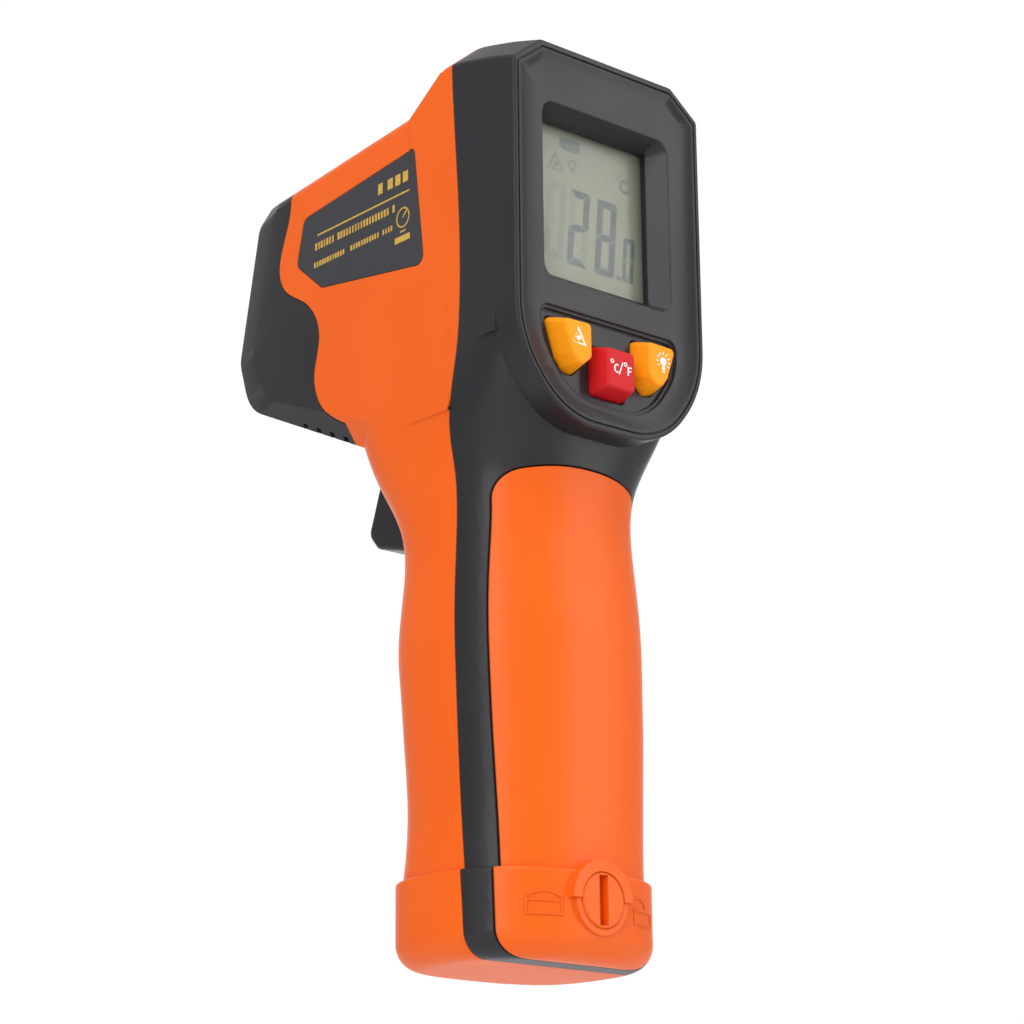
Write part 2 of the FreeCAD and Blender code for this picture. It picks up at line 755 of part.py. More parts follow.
def nose_cap(form):
    solid = form().common(nose_side(0)).cut(grip_front_keepout())
    shell = hollowed(solid, wall)
    collar_ring = rod_y(0, lens_z, tube_outer_radius + 1.6, tube_front_y - 4, 80).common(form())
    shell = shell.fuse(collar_ring)
    shell = shell.fuse(rod_y(0, laser_z, laser_radius + 1.4, tube_front_y - 8, 78).common(form()))
    shell = shell.cut(rod_y(0, lens_z, tube_outer_radius + 0.05, 40, tube_front_y + 0.05))
    shell = shell.cut(rod_y(0, lens_z, lens_bore_radius, 40, 95))
    cone = Part.makeCone(lens_bore_radius - 0.4, lens_bore_radius + 2.6, 6.2, V(0, 76.8, lens_z), V(0, 1, 0))
    shell = shell.cut(cone)
    shell = shell.cut(rod_y(0, laser_z, laser_radius + 0.05, 40, tube_front_y + 0.5))
    shell = shell.cut(rod_y(0, laser_z, 1.6, 40, 95))
    shell = shell.cut(rod_y(0, laser_z, laser_window_radius + 0.05, 76.4, 95))
    for i in range(4):
        # four slots slant across the underside, each cut from the flank's lower edge
        y = 50.0 + i * 3.9
        slot = box(-24, 24, -0.75, 0.75, -4, 0.9)
        slot.rotate(V(0, 0, 0), V(1, 0, 0), 24.5)
        slot.translate(V(0, y, 91.3 + (y - 43.3) * 0.457))
        shell = shell.cut(slot)
    return shell.removeSplitter()


def side_label(form, side):
    return label_block(0, side).common(form()).cut(barrel(0.85))


def lock_ring():
    ring = rod_y(0, lock_z, lock_ring_outer, boot_rear_y - lock_ring_height, boot_rear_y + 1.2)
    upper = box(-10, 10, -5, 10, lock_z, lock_z + 12)
    lower = rod_y(0, lock_z, lock_ring_outer - 0.9, boot_rear_y - lock_ring_height * 0.5, boot_rear_y + 1.2)
    return ring.common(upper).fuse(lower)


def battery_cover(form):
    shell = hollowed(form().common(cover_block(0)), wall)
    shell = shell.fuse(lock_ring())
    shell = shell.fuse(rod_y(0, lock_z, lock_ring_outer, boot_rear_y + 1.0, lock_face_y + lock_depth - 1.0))
    shell = shell.cut(rod_y(0, lock_z, lock_radius + lock_clearance, -5, 20))
    inside_y = lock_face_y + lock_depth - 1.0
    shell = shell.cut(rod_y(0, lock_z, lock_flange_radius + cover_gap, inside_y, inside_y + 6))
    return shell.removeSplitter()


def cover_lock():
    body = rod_y(0, lock_z, lock_radius, lock_face_y, lock_face_y + lock_depth)
    edge = bounded_edges(body, lambda p: p.y < lock_face_y + 0.01)
    body = body.makeFillet(0.35, edge)
    half = lock_slot_width / 2
    slot = box(-half, half, lock_face_y - 1, lock_face_y + lock_slot_depth, lock_z - 4.1, lock_z + 4.1)
    inside_y = lock_face_y + lock_depth - 1.0 + 0.1
    flange = rod_y(0, lock_z, lock_flange_radius, inside_y, inside_y + lock_flange_thickness)
    return body.cut(slot).fuse(flange).removeSplitter()


# ================================ display ======================================================
def display_window():
    half, height = lcd_half_width + 0.8, lcd_height / 2 + 0.6
    back = window_boss_y + pane_thickness
    return box(-half, half, window_boss_y, back, window_z - height, window_z + height)


lcd_y = window_boss_y + pane_thickness + lcd_gap


def lcd_panel():
    half, height = lcd_half_width, lcd_height / 2
    return box(-half, half, lcd_y, lcd_y + lcd_thickness, window_z - height, window_z + height)


def backlight_panel():
    half, height = lcd_half_width, lcd_height / 2 - strip_height - 0.3
    front = lcd_y + lcd_thickness
    return box(-half, half, front, front + backlight_thickness, window_z - height, window_z + height)


def elastomer_strips():
    back = lcd_y + lcd_thickness
    height = lcd_height / 2
    low = box(-12.5, 12.5, back, board_y, window_z - height + 0.1, window_z - height + strip_height)
    high = box(-12.5, 12.5, back, board_y, window_z + height - strip_height, window_z + height - 0.1)
    return Part.makeCompound([low, high])


def lcd_frame():
    half, height = lcd_half_width + 0.1, lcd_height / 2 + 0.1
    grown, tall = half + frame_wall, height + frame_wall
    frame = box(-grown, grown, lcd_y, board_y, window_z - tall, window_z + tall)
    return frame.cut(box(-half, half, lcd_y - 1, board_y + 1, window_z - height, window_z + height))


def main_board():
    half = board_half_width
    board = box(-half, half, board_y, board_y + board_thickness, board_step_z, board_top_z)
    half = board_foot_half
    board = board.fuse(box(-half, half, board_y, board_y + board_thickness, board_bottom_z, board_step_z + 1))
    for x, z in board_screw_places():
        board = board.cut(rod_y(x, z, 1.1, board_y - 1, board_y + 3))
    return board.removeSplitter()


def tact_switches():
    pieces = []
    for corners in key_corners().values():
        x, z = key_centre(corners)
        half = switch_size / 2 - 0.6
        case = box(x - half, x + half, board_y - switch_height + 0.7, board_y, z - half, z + half)
        pieces.append(case.fuse(rod_y(x, z, 1.2, board_y - switch_height + 0.0, board_y - 1)))
    return Part.makeCompound(pieces)


def buzzer():
    top = board_y + board_thickness
    return rod_y(-9.0, 140.0, 4.6, top, top + 2.2).cut(rod_y(-9.0, 140.0, 0.8, top + 1, top + 3))


# ================================ optics =======================================================
def sensor_tube():
    tube = rod_y(0, lens_z, tube_outer_radius, tube_rear_y, tube_front_y)
    tube = tube.cut(rod_y(0, lens_z, tube_inner_radius, tube_rear_y + 4, tube_front_y + 1))
    return tube.cut(rod_y(0, lens_z, sensor_radius + 0.05, tube_rear_y - 1, tube_rear_y + 5))


def ir_lens():
    front = tube_front_y - 2.2
    disc = rod_y(0, lens_z, lens_radius, front - lens_thickness, front)
    ball_radius = 26.0
    sag = ball_radius - math.sqrt(ball_radius ** 2 - (lens_radius - 0.2) ** 2)
    ball = Part.makeSphere(ball_radius, V(0, front - ball_radius + sag, lens_z))
    dome = ball.common(rod_y(0, lens_z, lens_radius - 0.2, front - 0.2, front + sag + 1))
    return disc.fuse(dome).removeSplitter()


def lens_retaining_ring():
    ring = rod_y(0, lens_z, tube_inner_radius - 0.02, tube_front_y - 2.2, tube_front_y - 0.2)
    return ring.cut(rod_y(0, lens_z, lens_radius - 0.1, tube_front_y - 3, tube_front_y + 1))


def thermopile_sensor():
    can = rod_y(0, lens_z, sensor_radius, tube_rear_y + 0.5, tube_rear_y + 4.6)
    window = rod_y(0, lens_z, 1.3, tube_rear_y + 4.3, tube_rear_y + 5)
    return can.cut(window)


def sensor_board():
    return rod_y(0, lens_z, tube_outer_radius - 0.2, tube_rear_y - 1.4, tube_rear_y)


def laser_module():
    front = tube_front_y + 0.4
    body = rod_y(0, laser_z, laser_radius, front - laser_length, front)
    return body.cut(rod_y(0, laser_z, 1.2, front - 3, front + 1))


def laser_window():
    return rod_y(0, laser_z, laser_window_radius, 76.4, 77.2)


# ================================ trigger ======================================================
def trigger():
    corners = trigger_corners()
    body = prism_x(corners, [1.0, 3.0, 6.0, 2.2, 1.6, 1.0, 1.0], -trigger_half_width, trigger_half_width)
    rim = bounded_edges(body, lambda p: abs(p.x) > trigger_half_width - 0.01 and p.y > 44.2)
    body = body.makeFillet(0.9, rim)
    core = [(36.0, 99.0), (49.0, 99.0), (49.0, 80.5), (36.0, 78.5)]
    body = body.cut(prism_x(core, [0] * 4, -trigger_half_width + 1.6, trigger_half_width - 1.6))
    lug = rod_x(trigger_pivot_y, trigger_pivot_z, trigger_lug_radius, -trigger_half_width, trigger_half_width)
    gap = rod_x(trigger_pivot_y, trigger_pivot_z, 4.0, -2.6, 2.6)
    body = body.fuse(lug.cut(gap))
    presser_y = trigger_switch_y + plunger_length + plunger_gap
    body = body.fuse(box(-1.4, 1.4, presser_y, 50.0, trigger_switch_z - 1.3, trigger_switch_z + 1.3))
    bore = rod_x(trigger_pivot_y, trigger_pivot_z, trigger_pin_radius + trigger_pin_clearance, -20, 20)
    return body.cut(bore).removeSplitter()


def trigger_pin():
    return rod_x(trigger_pivot_y, trigger_pivot_z, trigger_pin_radius, -trigger_pin_half, trigger_pin_half)


def trigger_spring():
    """Torsion spring round the pin: close coils with a leg to the trigger and a leg to the switch bracket."""
    wire_radius = 0.3
    coil_radius = trigger_pin_radius + 0.75
    y, z = trigger_pivot_y, trigger_pivot_z
    rings = None
    for i in range(4):
        ring = Part.makeTorus(coil_radius, wire_radius, V(-0.9 + i * 0.55, y, z), V(1, 0, 0))
        rings = ring if rings is None else rings.fuse(ring)
    down = Part.makeCylinder(wire_radius, 6.7, V(0.75, y + coil_radius, z), V(0, 0.12, -1))
    back = Part.makeCylinder(wire_radius, 6.0, V(-0.9, y, z + coil_radius), V(0, -1, 0))
    return rings.fuse(down).fuse(back)


def trigger_switch():
    y, z = trigger_switch_y, trigger_switch_z
    case = box(-5.6, 5.6, y - 5.0, y, z - 5, z + 5)
    return case.cut(rod_y(0, z, plunger_radius + 0.05, y - 3.4, y + 1))


def switch_plunger():
    y = trigger_switch_y
    return rod_y(0, trigger_switch_z, plunger_radius, y - 1.0, y + plunger_length)


def switch_bracket():
    """Clip that carries the trigger switch on two arms from the web in the rear housing."""
    y, z = trigger_switch_y, trigger_switch_z
    bracket = box(-8.2, 8.2, y - 6.4, y - 5.0, z - 6, z + 6)
    for side in (-1, 1):
        x0, x1 = (5.7, 7.0) if side > 0 else (-7.0, -5.7)
        bracket = bracket.fuse(box(x0, x1, y - 5.0, y - 0.6, z - 5, z + 5))
        bracket = bracket.fuse(box(x0, x1, web_y + web_thickness, y - 5.0, z - 5, z - 2))
    return bracket.removeSplitter()


# ================================ batteries ====================================================
battery_top_z = battery_foot_z + battery_length


def battery_places():
    return [(-battery_pitch / 2, 1), (battery_pitch / 2, -1)]


def batteries():
    cells = []
    for x, way in battery_places():
        body_z0 = battery_foot_z + (0 if way > 0 else terminal_height)
        body = rod_z(x, battery_y, battery_radius, body_z0, body_z0 + battery_length - terminal_height)
        ends = bounded_edges(body, lambda p: True)
        body = body.makeFillet(0.4, [edge for edge in ends if edge.Curve.TypeId == "Part::GeomCircle"])
        nub_z = battery_top_z - terminal_height - 0.1 if way > 0 else battery_foot_z
        nub = rod_z(x, battery_y, terminal_radius, nub_z, nub_z + terminal_height + 0.1)
        cells.append(body.fuse(nub))
    return Part.makeCompound(cells)


def bay_inner():
    half = battery_pitch / 2 + battery_radius + bay_clearance
    back = web_y + web_thickness
    front = battery_y + battery_radius + bay_clearance
    return half, back, front, battery_foot_z - 2.6, battery_top_z + 2.6


def battery_bay():
    half, back, front, z0, z1 = bay_inner()
    tray = box(-half - bay_wall, half + bay_wall, back, front + bay_wall, z0 - bay_wall, z1 + bay_wall)
    tray = tray.cut(box(-half, half, back - 1, front, z0, z1))
    rib = box(-0.4, 0.4, front - 2.0, front + 0.1, z0 + 6, z1 - 6)
    return tray.fuse(rib)


def contact_spring(x, foot, way):
    """Conical contact spring that reaches from the end plate to the flat end of a cell."""
    turns = []
    for i in range(3):
        radius = 3.0 - i * 0.7
        centre = V(x, battery_y, foot + way * (contact_spring_foot + i * contact_spring_pitch))
        turns.append(Part.makeTorus(radius, 0.32, centre, V(0, 0, 1)))
    spring = turns[0]
    for i, turn in enumerate(turns[1:]):
        spring = spring.fuse(turn)
        step = V(x + 2.65 - i * 0.7, battery_y, foot + way * (contact_spring_foot + i * contact_spring_pitch))
        rise = V(-0.75, 0, way * contact_spring_pitch)
        spring = spring.fuse(Part.makeCylinder(0.3, rise.Length, step, rise))
    return spring


def battery_springs():
    half, back, front, z0, z1 = bay_inner()
    return Part.makeCompound([contact_spring(battery_places()[0][0], z0 + 0.4, 1),
                              contact_spring(battery_places()[1][0], z1 - 0.4, -1)])


def battery_plates():
    half, back, front, z0, z1 = bay_inner()
    plates = []
    for x, _ in battery_places():
        for z in (z0, z1 - 0.4):
            plates.append(box(x - 4.2, x + 4.2, battery_y - 3.4, battery_y + 4.0, z, z + 0.4))
    return Part.makeCompound(plates)


# ================================ screws =======================================================
def screw(x, z, seat_y, radius, head_radius, head_height, length):
    head_part = rod_y(x, z, head_radius, seat_y - head_height, seat_y)
    rim = bounded_edges(head_part, lambda p: p.y < seat_y - head_height + 0.01)
    head_part = head_part.makeFillet(head_height * 0.4, rim)
    shank = rod_y(x, z, radius, seat_y - 0.1, seat_y + length)
    arm = head_radius * 0.6
    top_y, floor_y = seat_y - head_height - 1, seat_y - head_height * 0.4
    for half_x, half_z in ((arm, 0.28), (0.28, arm)):
        head_part = head_part.cut(box(x - half_x, x + half_x, top_y, floor_y, z - half_z, z + half_z))
    return head_part.fuse(shank)


def housing_screws():
    return Part.makeCompound([screw(x, z, web_y, screw_radius, screw_head_radius, screw_head_height, 14.0)
                              for x, z in screw_places()])


def board_screws():
    """Short screws driven from the front of the instrument side into the posts behind the panel."""
    pieces = []
    for x, z in board_screw_places():
        piece = screw(x, z, 0, 0.9, 1.8, 1.1, 4.5)
        piece.rotate(V(x, 0, z), V(0, 0, 1), 180)
        piece.translate(V(0, board_y + board_thickness, 0))
        pieces.append(piece)
    return Part.makeCompound(pieces)


# ================================ build ========================================================
def all_parts():
    outer = outer_form()

    def form():
        """A separate copy for each use, because cutting with a shape can loosen its own edges."""
        return outer.copy()

    parts = {
        "rear_housing": rear_housing(form),
        "front_housing": front_housing(form),
        "nose_cap": nose_cap(form),
        "side_label_left": side_label(form, -1),
        "side_label_right": side_label(form, 1),
        "battery_cover": battery_cover(form),
        "cover_lock": cover_lock(),
        "display_window": display_window(),
        "lcd_panel": lcd_panel(),
        "backlight_panel": backlight_panel(),
        "elastomer_strips": elastomer_strips(),
        "lcd_frame": lcd_frame(),
        "main_board": main_board(),
        "tact_switches": tact_switches(),
        "buzzer": buzzer(),
        "sensor_tube": sensor_tube(),
        "ir_lens": ir_lens(),
        "lens_retaining_ring": lens_retaining_ring(),
        "thermopile_sensor": thermopile_sensor(),
        "sensor_board": sensor_board(),
        "laser_module": laser_module(),
        "laser_window": laser_window(),
        "trigger": trigger(),
        "trigger_pin": trigger_pin(),
        "trigger_spring": trigger_spring(),
        "trigger_switch": trigger_switch(),
        "switch_plunger": switch_plunger(),
        "switch_bracket": switch_bracket(),
        "battery_bay": battery_bay(),
        "batteries": batteries(),
        "battery_springs": battery_springs(),
        "battery_plates": battery_plates(),
        "housing_screws": housing_screws(),
        "board_screws": board_screws(),
    }
    for name, corners in key_corners().items():
        parts[name] = key(corners)
    return parts


def main():
    os.makedirs("parts", exist_ok=True)
    for name, shape in all_parts().items():
        placed = place_in_frame(shape)
        volume = round(placed.Volume, 1)
        print(name, "solids", len(placed.Solids), "valid", placed.isValid(), "volume", volume)
        placed.exportStep("parts/" + name + ".step")


main()
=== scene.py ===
import json
import math
import bmesh
import bpy
from mathutils import Matrix, Vector
from mathutils.bvhtree import BVHTree


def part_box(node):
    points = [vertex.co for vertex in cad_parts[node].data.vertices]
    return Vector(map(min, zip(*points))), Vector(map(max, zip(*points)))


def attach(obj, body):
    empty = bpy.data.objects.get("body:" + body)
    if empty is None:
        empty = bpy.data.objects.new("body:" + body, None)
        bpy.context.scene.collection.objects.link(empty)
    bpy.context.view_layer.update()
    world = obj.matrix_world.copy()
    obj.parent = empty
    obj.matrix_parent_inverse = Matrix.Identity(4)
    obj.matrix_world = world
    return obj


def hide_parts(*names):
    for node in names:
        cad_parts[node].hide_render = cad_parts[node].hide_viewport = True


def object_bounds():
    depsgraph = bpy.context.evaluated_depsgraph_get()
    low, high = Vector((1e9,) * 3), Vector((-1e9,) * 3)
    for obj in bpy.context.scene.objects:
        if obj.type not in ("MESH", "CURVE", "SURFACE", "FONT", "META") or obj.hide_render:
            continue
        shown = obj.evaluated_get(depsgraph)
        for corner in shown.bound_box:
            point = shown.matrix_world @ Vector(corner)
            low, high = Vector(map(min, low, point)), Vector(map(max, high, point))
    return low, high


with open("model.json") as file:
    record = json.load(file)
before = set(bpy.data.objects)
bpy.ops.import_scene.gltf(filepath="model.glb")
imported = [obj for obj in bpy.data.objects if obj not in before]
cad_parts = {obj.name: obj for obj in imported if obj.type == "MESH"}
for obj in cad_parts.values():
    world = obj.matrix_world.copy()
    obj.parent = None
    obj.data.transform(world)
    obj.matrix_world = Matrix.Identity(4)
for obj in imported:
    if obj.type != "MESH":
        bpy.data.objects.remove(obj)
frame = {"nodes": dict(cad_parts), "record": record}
cadLow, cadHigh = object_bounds()
nodes = frame["nodes"]
scene = bpy.context.scene
mm = 0.001
print("frame loaded,", len(nodes), "parts")

# the view: from the left and a little below, looking up the handle
cameraFacts = {"place": (-0.32905, -0.36201, -0.06329), "yaw": 42.07, "pitch": 16.26, "roll": -0.59,
               "lens": 103.5, "sensor": 36, "clip": (0.01, 20)}


def makeCamera(facts):
    yaw = math.radians(facts["yaw"])
    pitch = math.radians(facts["pitch"])
    roll = math.radians(facts["roll"])
    ahead = Vector((math.sin(yaw) * math.cos(pitch), math.cos(yaw) * math.cos(pitch), math.sin(pitch)))
    side = Vector((math.cos(yaw), -math.sin(yaw), 0))
    up = side.cross(ahead)
    tiltedSide = side * math.cos(roll) + up * math.sin(roll)
    tiltedUp = up * math.cos(roll) - side * math.sin(roll)
    data = bpy.data.cameras.new("camera")
    data.sensor_width = facts["sensor"]
    data.lens = facts["lens"]
    data.clip_start, data.clip_end = facts["clip"]
    holder = bpy.data.objects.new("camera", data)
    scene.collection.objects.link(holder)
    turn = Matrix((tiltedSide, tiltedUp, -ahead)).transposed().to_4x4()
    holder.matrix_world = Matrix.Translation(facts["place"]) @ turn
    scene.camera = holder


makeCamera(cameraFacts)
print("camera placed")


# shader helpers: a socket that can be added and multiplied, and a material that hands them out
class Port:
    def __init__(self, finish, socket):
        self.finish = finish
        self.socket = socket

    def maths(self, operation, first, second=0.0, clamp=False):
        settings = {"operation": operation, "use_clamp": clamp}
        return self.finish.node("ShaderNodeMath", settings, {0: first, 1: second})

    def __add__(self, other):
        return self.maths("ADD", self, other)

    def __radd__(self, other):
        return self.maths("ADD", other, self)

    def __sub__(self, other):
        return self.maths("SUBTRACT", self, other)

    def __rsub__(self, other):
        return self.maths("SUBTRACT", other, self)

    def __mul__(self, other):
        return self.maths("MULTIPLY", self, other)

    def __gt__(self, other):
        return self.maths("GREATER_THAN", self, other)

    def __lt__(self, other):
        return self.maths("LESS_THAN", self, other)

    def clamped(self):
        return self.maths("ADD", self, 0.0, clamp=True)


class Finish:
    def __init__(self, name):
        self.material = bpy.data.materials.new(name)
        self.material.use_nodes = True
        self.tree = self.material.node_tree
        self.tree.nodes.clear()

    def node(self, kind, settings=None, values=None, out=0):
        made = self.tree.nodes.new(kind)
        for key, value in (settings or {}).items():
            setattr(made, key, value)
        for key, value in (values or {}).items():
            if isinstance(value, Port):
                self.tree.links.new(value.socket, made.inputs[key])
            else:
                made.inputs[key].default_value = value
        return Port(self, made.outputs[out]) if len(made.outputs) else made

    def place(self):
        return self.node("ShaderNodeTexCoord", out="Object")

    def along(self, axis):
        return self.node("ShaderNodeSeparateXYZ", {}, {0: self.place()}, axis)

    def noise(self, scale, detail=2.0, stretch=(1, 1, 1)):
        where = self.node("ShaderNodeMapping", {}, {"Vector": self.place(), "Scale": stretch})
        return self.node("ShaderNodeTexNoise", {}, {"Vector": where, "Scale": scale, "Detail": detail})

    def mix(self, factor, first, second):
        return self.node("ShaderNodeMix", {"data_type": "RGBA"}, {0: factor, 6: first, 7: second}, 2)

    def bump(self, height, strength, depth, rounded=None):
        values = {"Strength": strength, "Distance": depth, "Height": height}
        if rounded is not None:
            values["Normal"] = rounded
        return self.node("ShaderNodeBump", {}, values)

    def edges(self, radius, gain):
        # how near a point is to an edge, from how much a rounded corner would turn there
        rounded = self.node("ShaderNodeBevel", {"samples": 4}, {"Radius": radius})
        plain = self.node("ShaderNodeNewGeometry", {}, {}, "Normal")
        alike = self.node("ShaderNodeVectorMath", {"operation": "DOT_PRODUCT"},
                          {0: rounded, 1: plain}, "Value")
        return ((1 - alike) * gain).clamped(), rounded

    def close(self, values):
        shader = self.node("ShaderNodeBsdfPrincipled", {}, values)
        self.node("ShaderNodeOutputMaterial", {}, {"Surface": shader})
        return self.material


def linear(red, green, blue, alpha=1.0):
    channels = []
    for value in (red, green, blue):
        share = value / 255
        channels.append(share / 12.92 if share <= 0.04045 else ((share + 0.055) / 1.055) ** 2.4)
    return (*channels, alpha)


def moulded(name, facts):
    # spark-eroded grain, a slow drift in tone, a little shine along the edges, and a painted highlight of
    # paler colour along the edges, broken up by noise
    finish = Finish(name)
    grain = finish.noise(facts["grainScale"], 3)
    drift = finish.noise(45, 2)
    highlightBreakup = finish.noise(700, 4)
    edge, rounded = finish.edges(facts["edge"], 2.5)
    # painted highlight: the edge mask, broken up by noise, lightens the colour along the edges
    paintedEdgeHighlight = (edge * (highlightBreakup * 1.6 - 0.35).clamped() * facts["paintedEdgeHighlight"]).clamped()
    shade = finish.mix((drift * 1.6 - 0.3).clamped(), facts["colour"], facts["drift"])
    colour = finish.mix(paintedEdgeHighlight, shade, facts["edgeHighlightColour"])
    rough = facts["rough"] + (drift - 0.5) * 0.08 + (grain - 0.5) * 0.06 - paintedEdgeHighlight * 0.08
    bump = finish.bump(grain, facts["bump"], 0.00004, rounded)
    return finish.close({"Base Color": colour, "Roughness": rough, "Normal": bump,
                         "IOR": facts.get("ior", 1.5)})


def metal(name, facts):
    finish = Finish(name)
    brush = finish.noise(900, 3, facts["stretch"])
    stain = finish.noise(160, 3)
    edge, rounded = finish.edges(0.00012, 2.0)
    colour = finish.mix((stain * 1.5 - 0.4).clamped(), facts["colour"], facts["dull"])
    # painted highlight: paler colour along the edges
    colour = finish.mix(edge * 0.5, colour, facts["edgeHighlightTint"])
    rough = facts["rough"] + (brush - 0.5) * 0.18 + (stain - 0.5) * 0.1
    bump = finish.bump(brush, 0.25, 0.00002, rounded)
    return finish.close({"Base Color": colour, "Roughness": rough, "Metallic": 1.0, "Normal": bump})


def printed(name, facts):
    # ink: slightly uneven cover and a faint sheen
    finish = Finish(name)
    patch = finish.noise(1800, 3)
    colour = finish.mix((patch * 1.8 - 0.5).clamped(), facts["colour"], facts["thin"])
    bump = finish.bump(patch, 0.2, 0.00001)
    rough = facts["rough"] + (patch - 0.5) * 0.15
    return finish.close({"Base Color": colour, "Roughness": rough, "Normal": bump})


# in each entry the paler edge colour and its amount paint a highlight along the edges
plastics = {
    "orangeShell": {"colour": linear(238, 98, 6), "drift": linear(232, 92, 3), "edgeHighlightColour": linear(250, 140, 70),
                    "grainScale": 5200, "edge": 0.00035, "paintedEdgeHighlight": 0.35, "rough": 0.42, "bump": 0.22,
                    "ior": 1.36},
    "blackShell": {"colour": linear(36, 35, 39), "drift": linear(30, 30, 34), "edgeHighlightColour": linear(92, 92, 98),
                   "grainScale": 5200, "edge": 0.00035, "paintedEdgeHighlight": 0.35, "rough": 0.38, "bump": 0.3, "ior": 1.4},
    "labelFilm": {"colour": linear(60, 60, 64), "drift": linear(55, 55, 59), "edgeHighlightColour": linear(110, 110, 112),
                  "grainScale": 7000, "edge": 0.00015, "paintedEdgeHighlight": 0.2, "rough": 0.5, "bump": 0.12, "ior": 1.33},
    "amberKey": {"colour": linear(255, 158, 6), "drift": linear(255, 148, 0), "edgeHighlightColour": linear(255, 190, 70),
                 "grainScale": 3800, "edge": 0.0004, "paintedEdgeHighlight": 0.25, "rough": 0.55, "bump": 0.25, "ior": 1.36},
    "redKey": {"colour": linear(205, 22, 30), "drift": linear(196, 16, 26), "edgeHighlightColour": linear(232, 70, 72),
               "grainScale": 3800, "edge": 0.0004, "paintedEdgeHighlight": 0.25, "rough": 0.55, "bump": 0.25, "ior": 1.36},
    "whitePart": {"colour": linear(226, 226, 220), "drift": linear(214, 214, 206),
                  "edgeHighlightColour": linear(240, 240, 236), "grainScale": 4000, "edge": 0.0002, "paintedEdgeHighlight": 0.2,
                  "rough": 0.45, "bump": 0.15},
    "blackPart": {"colour": linear(36, 36, 38), "drift": linear(30, 30, 32), "edgeHighlightColour": linear(80, 80, 82),
                  "grainScale": 4500, "edge": 0.0002, "paintedEdgeHighlight": 0.25, "rough": 0.5, "bump": 0.25},
    "zebraRubber": {"colour": linear(58, 58, 60), "drift": linear(44, 44, 46), "edgeHighlightColour": linear(78, 78, 80),
                    "grainScale": 2500, "edge": 0.0002, "paintedEdgeHighlight": 0.1, "rough": 0.75, "bump": 0.2},
}
# in each entry the palest colour is painted along the edges as a highlight
metals = {
    "steel": {"colour": linear(200, 200, 204), "dull": linear(168, 168, 172), "edgeHighlightTint": linear(236, 236, 238),
              "stretch": (1, 1, 6), "rough": 0.3},
    "brass": {"colour": linear(214, 176, 98), "dull": linear(186, 148, 76), "edgeHighlightTint": linear(240, 210, 140),
              "stretch": (6, 1, 1), "rough": 0.28},
}
inks = {
    "goldPrint": {"colour": linear(214, 172, 66), "thin": linear(176, 138, 58), "rough": 0.42},
    "whitePrint": {"colour": linear(252, 250, 246), "thin": linear(240, 232, 222), "rough": 0.5},
    "segmentInk": {"colour": linear(48, 62, 62), "thin": linear(56, 70, 68), "rough": 0.4},
    "ghostInk": {"colour": linear(108, 118, 98), "thin": linear(112, 120, 99), "rough": 0.4},
    "iconInk": {"colour": linear(74, 86, 80), "thin": linear(80, 91, 83), "rough": 0.4},
}
finishes = {}
for finishName, facts in plastics.items():
    finishes[finishName] = moulded(finishName, facts)
for finishName, facts in metals.items():
    finishes[finishName] = metal(finishName, facts)
for finishName, facts in inks.items():
    finishes[finishName] = printed(finishName, facts)


def clearPane():
    # thin polished pane: mostly see-through, with faint smears in its gloss
    finish = Finish("clearPane")
    smear = finish.noise(260, 4, (1, 1, 0.3))
    dust = finish.noise(2600, 2)
    seen = 0.06 + (smear - 0.45).clamped() * 0.15 + (dust > 0.74) * 0.08
    bump = finish.bump(smear, 0.05, 0.00002)
    return finish.close({"Base Color": linear(205, 210, 205), "Roughness": 0.04 + smear * 0.08,
                         "Alpha": seen, "Normal": bump})


def displayGlass(lowX, highX):
    # reflective liquid crystal: olive grey, with painted shade making it a touch dimmer towards its
    # right-hand side, and faint columns
    finish = Finish("displayGlass")
    across = (finish.along("X") - lowX) * (1 / (highX - lowX))
    columns = finish.noise(500, 2, (1, 1, 0.02))
    cloud = finish.noise(90, 2)
    # painted shade: dimmer towards the right-hand side, with a random cloud over it
    paintedShadeAndCloud = (across * 0.75 + (cloud - 0.5) * 0.5).clamped()
    colour = finish.mix(paintedShadeAndCloud, linear(130, 131, 106), linear(112, 115, 94))
    colour = finish.mix((columns * 1.5 - 0.5).clamped() * 0.25, colour, linear(112, 118, 99))
    fine = finish.noise(6000, 2)
    bump = finish.bump(fine, 0.1, 0.00002)
    return finish.close({"Base Color": colour, "Roughness": 0.38 + (fine - 0.5) * 0.1, "Normal": bump})


def boardMask():
    # solder mask over faint copper runs
    finish = Finish("boardMask")
    cells = finish.node("ShaderNodeTexVoronoi", {"feature": "DISTANCE_TO_EDGE", "distance": "CHEBYCHEV"},
                        {"Vector": finish.place(), "Scale": 420.0})
    runs = cells < 0.05
    speck = finish.noise(1500, 3)
    edge, rounded = finish.edges(0.00015, 2.0)
    colour = finish.mix(runs * 0.6, linear(18, 92, 52), linear(48, 130, 76))
    colour = finish.mix(edge * 0.6, colour, linear(170, 160, 110))
    bump = finish.bump(runs + speck * 0.2, 0.35, 0.00003, rounded)
    return finish.close({"Base Color": colour, "Roughness": 0.3 + (speck - 0.5) * 0.2, "Normal": bump,
                         "Coat Weight": 0.3})


def lensCoating():
    finish = Finish("lensCoating")
    facing = finish.node("ShaderNodeLayerWeight", {}, {"Blend": 0.35}, "Facing")
    speck = finish.noise(1400, 3)
    colour = finish.mix(facing, linear(70, 52, 74), linear(120, 84, 66))
    bump = finish.bump(speck, 0.06, 0.00001)
    return finish.close({"Base Color": colour, "Roughness": 0.12 + (speck - 0.5) * 0.08, "Metallic": 0.55,
                         "Normal": bump})


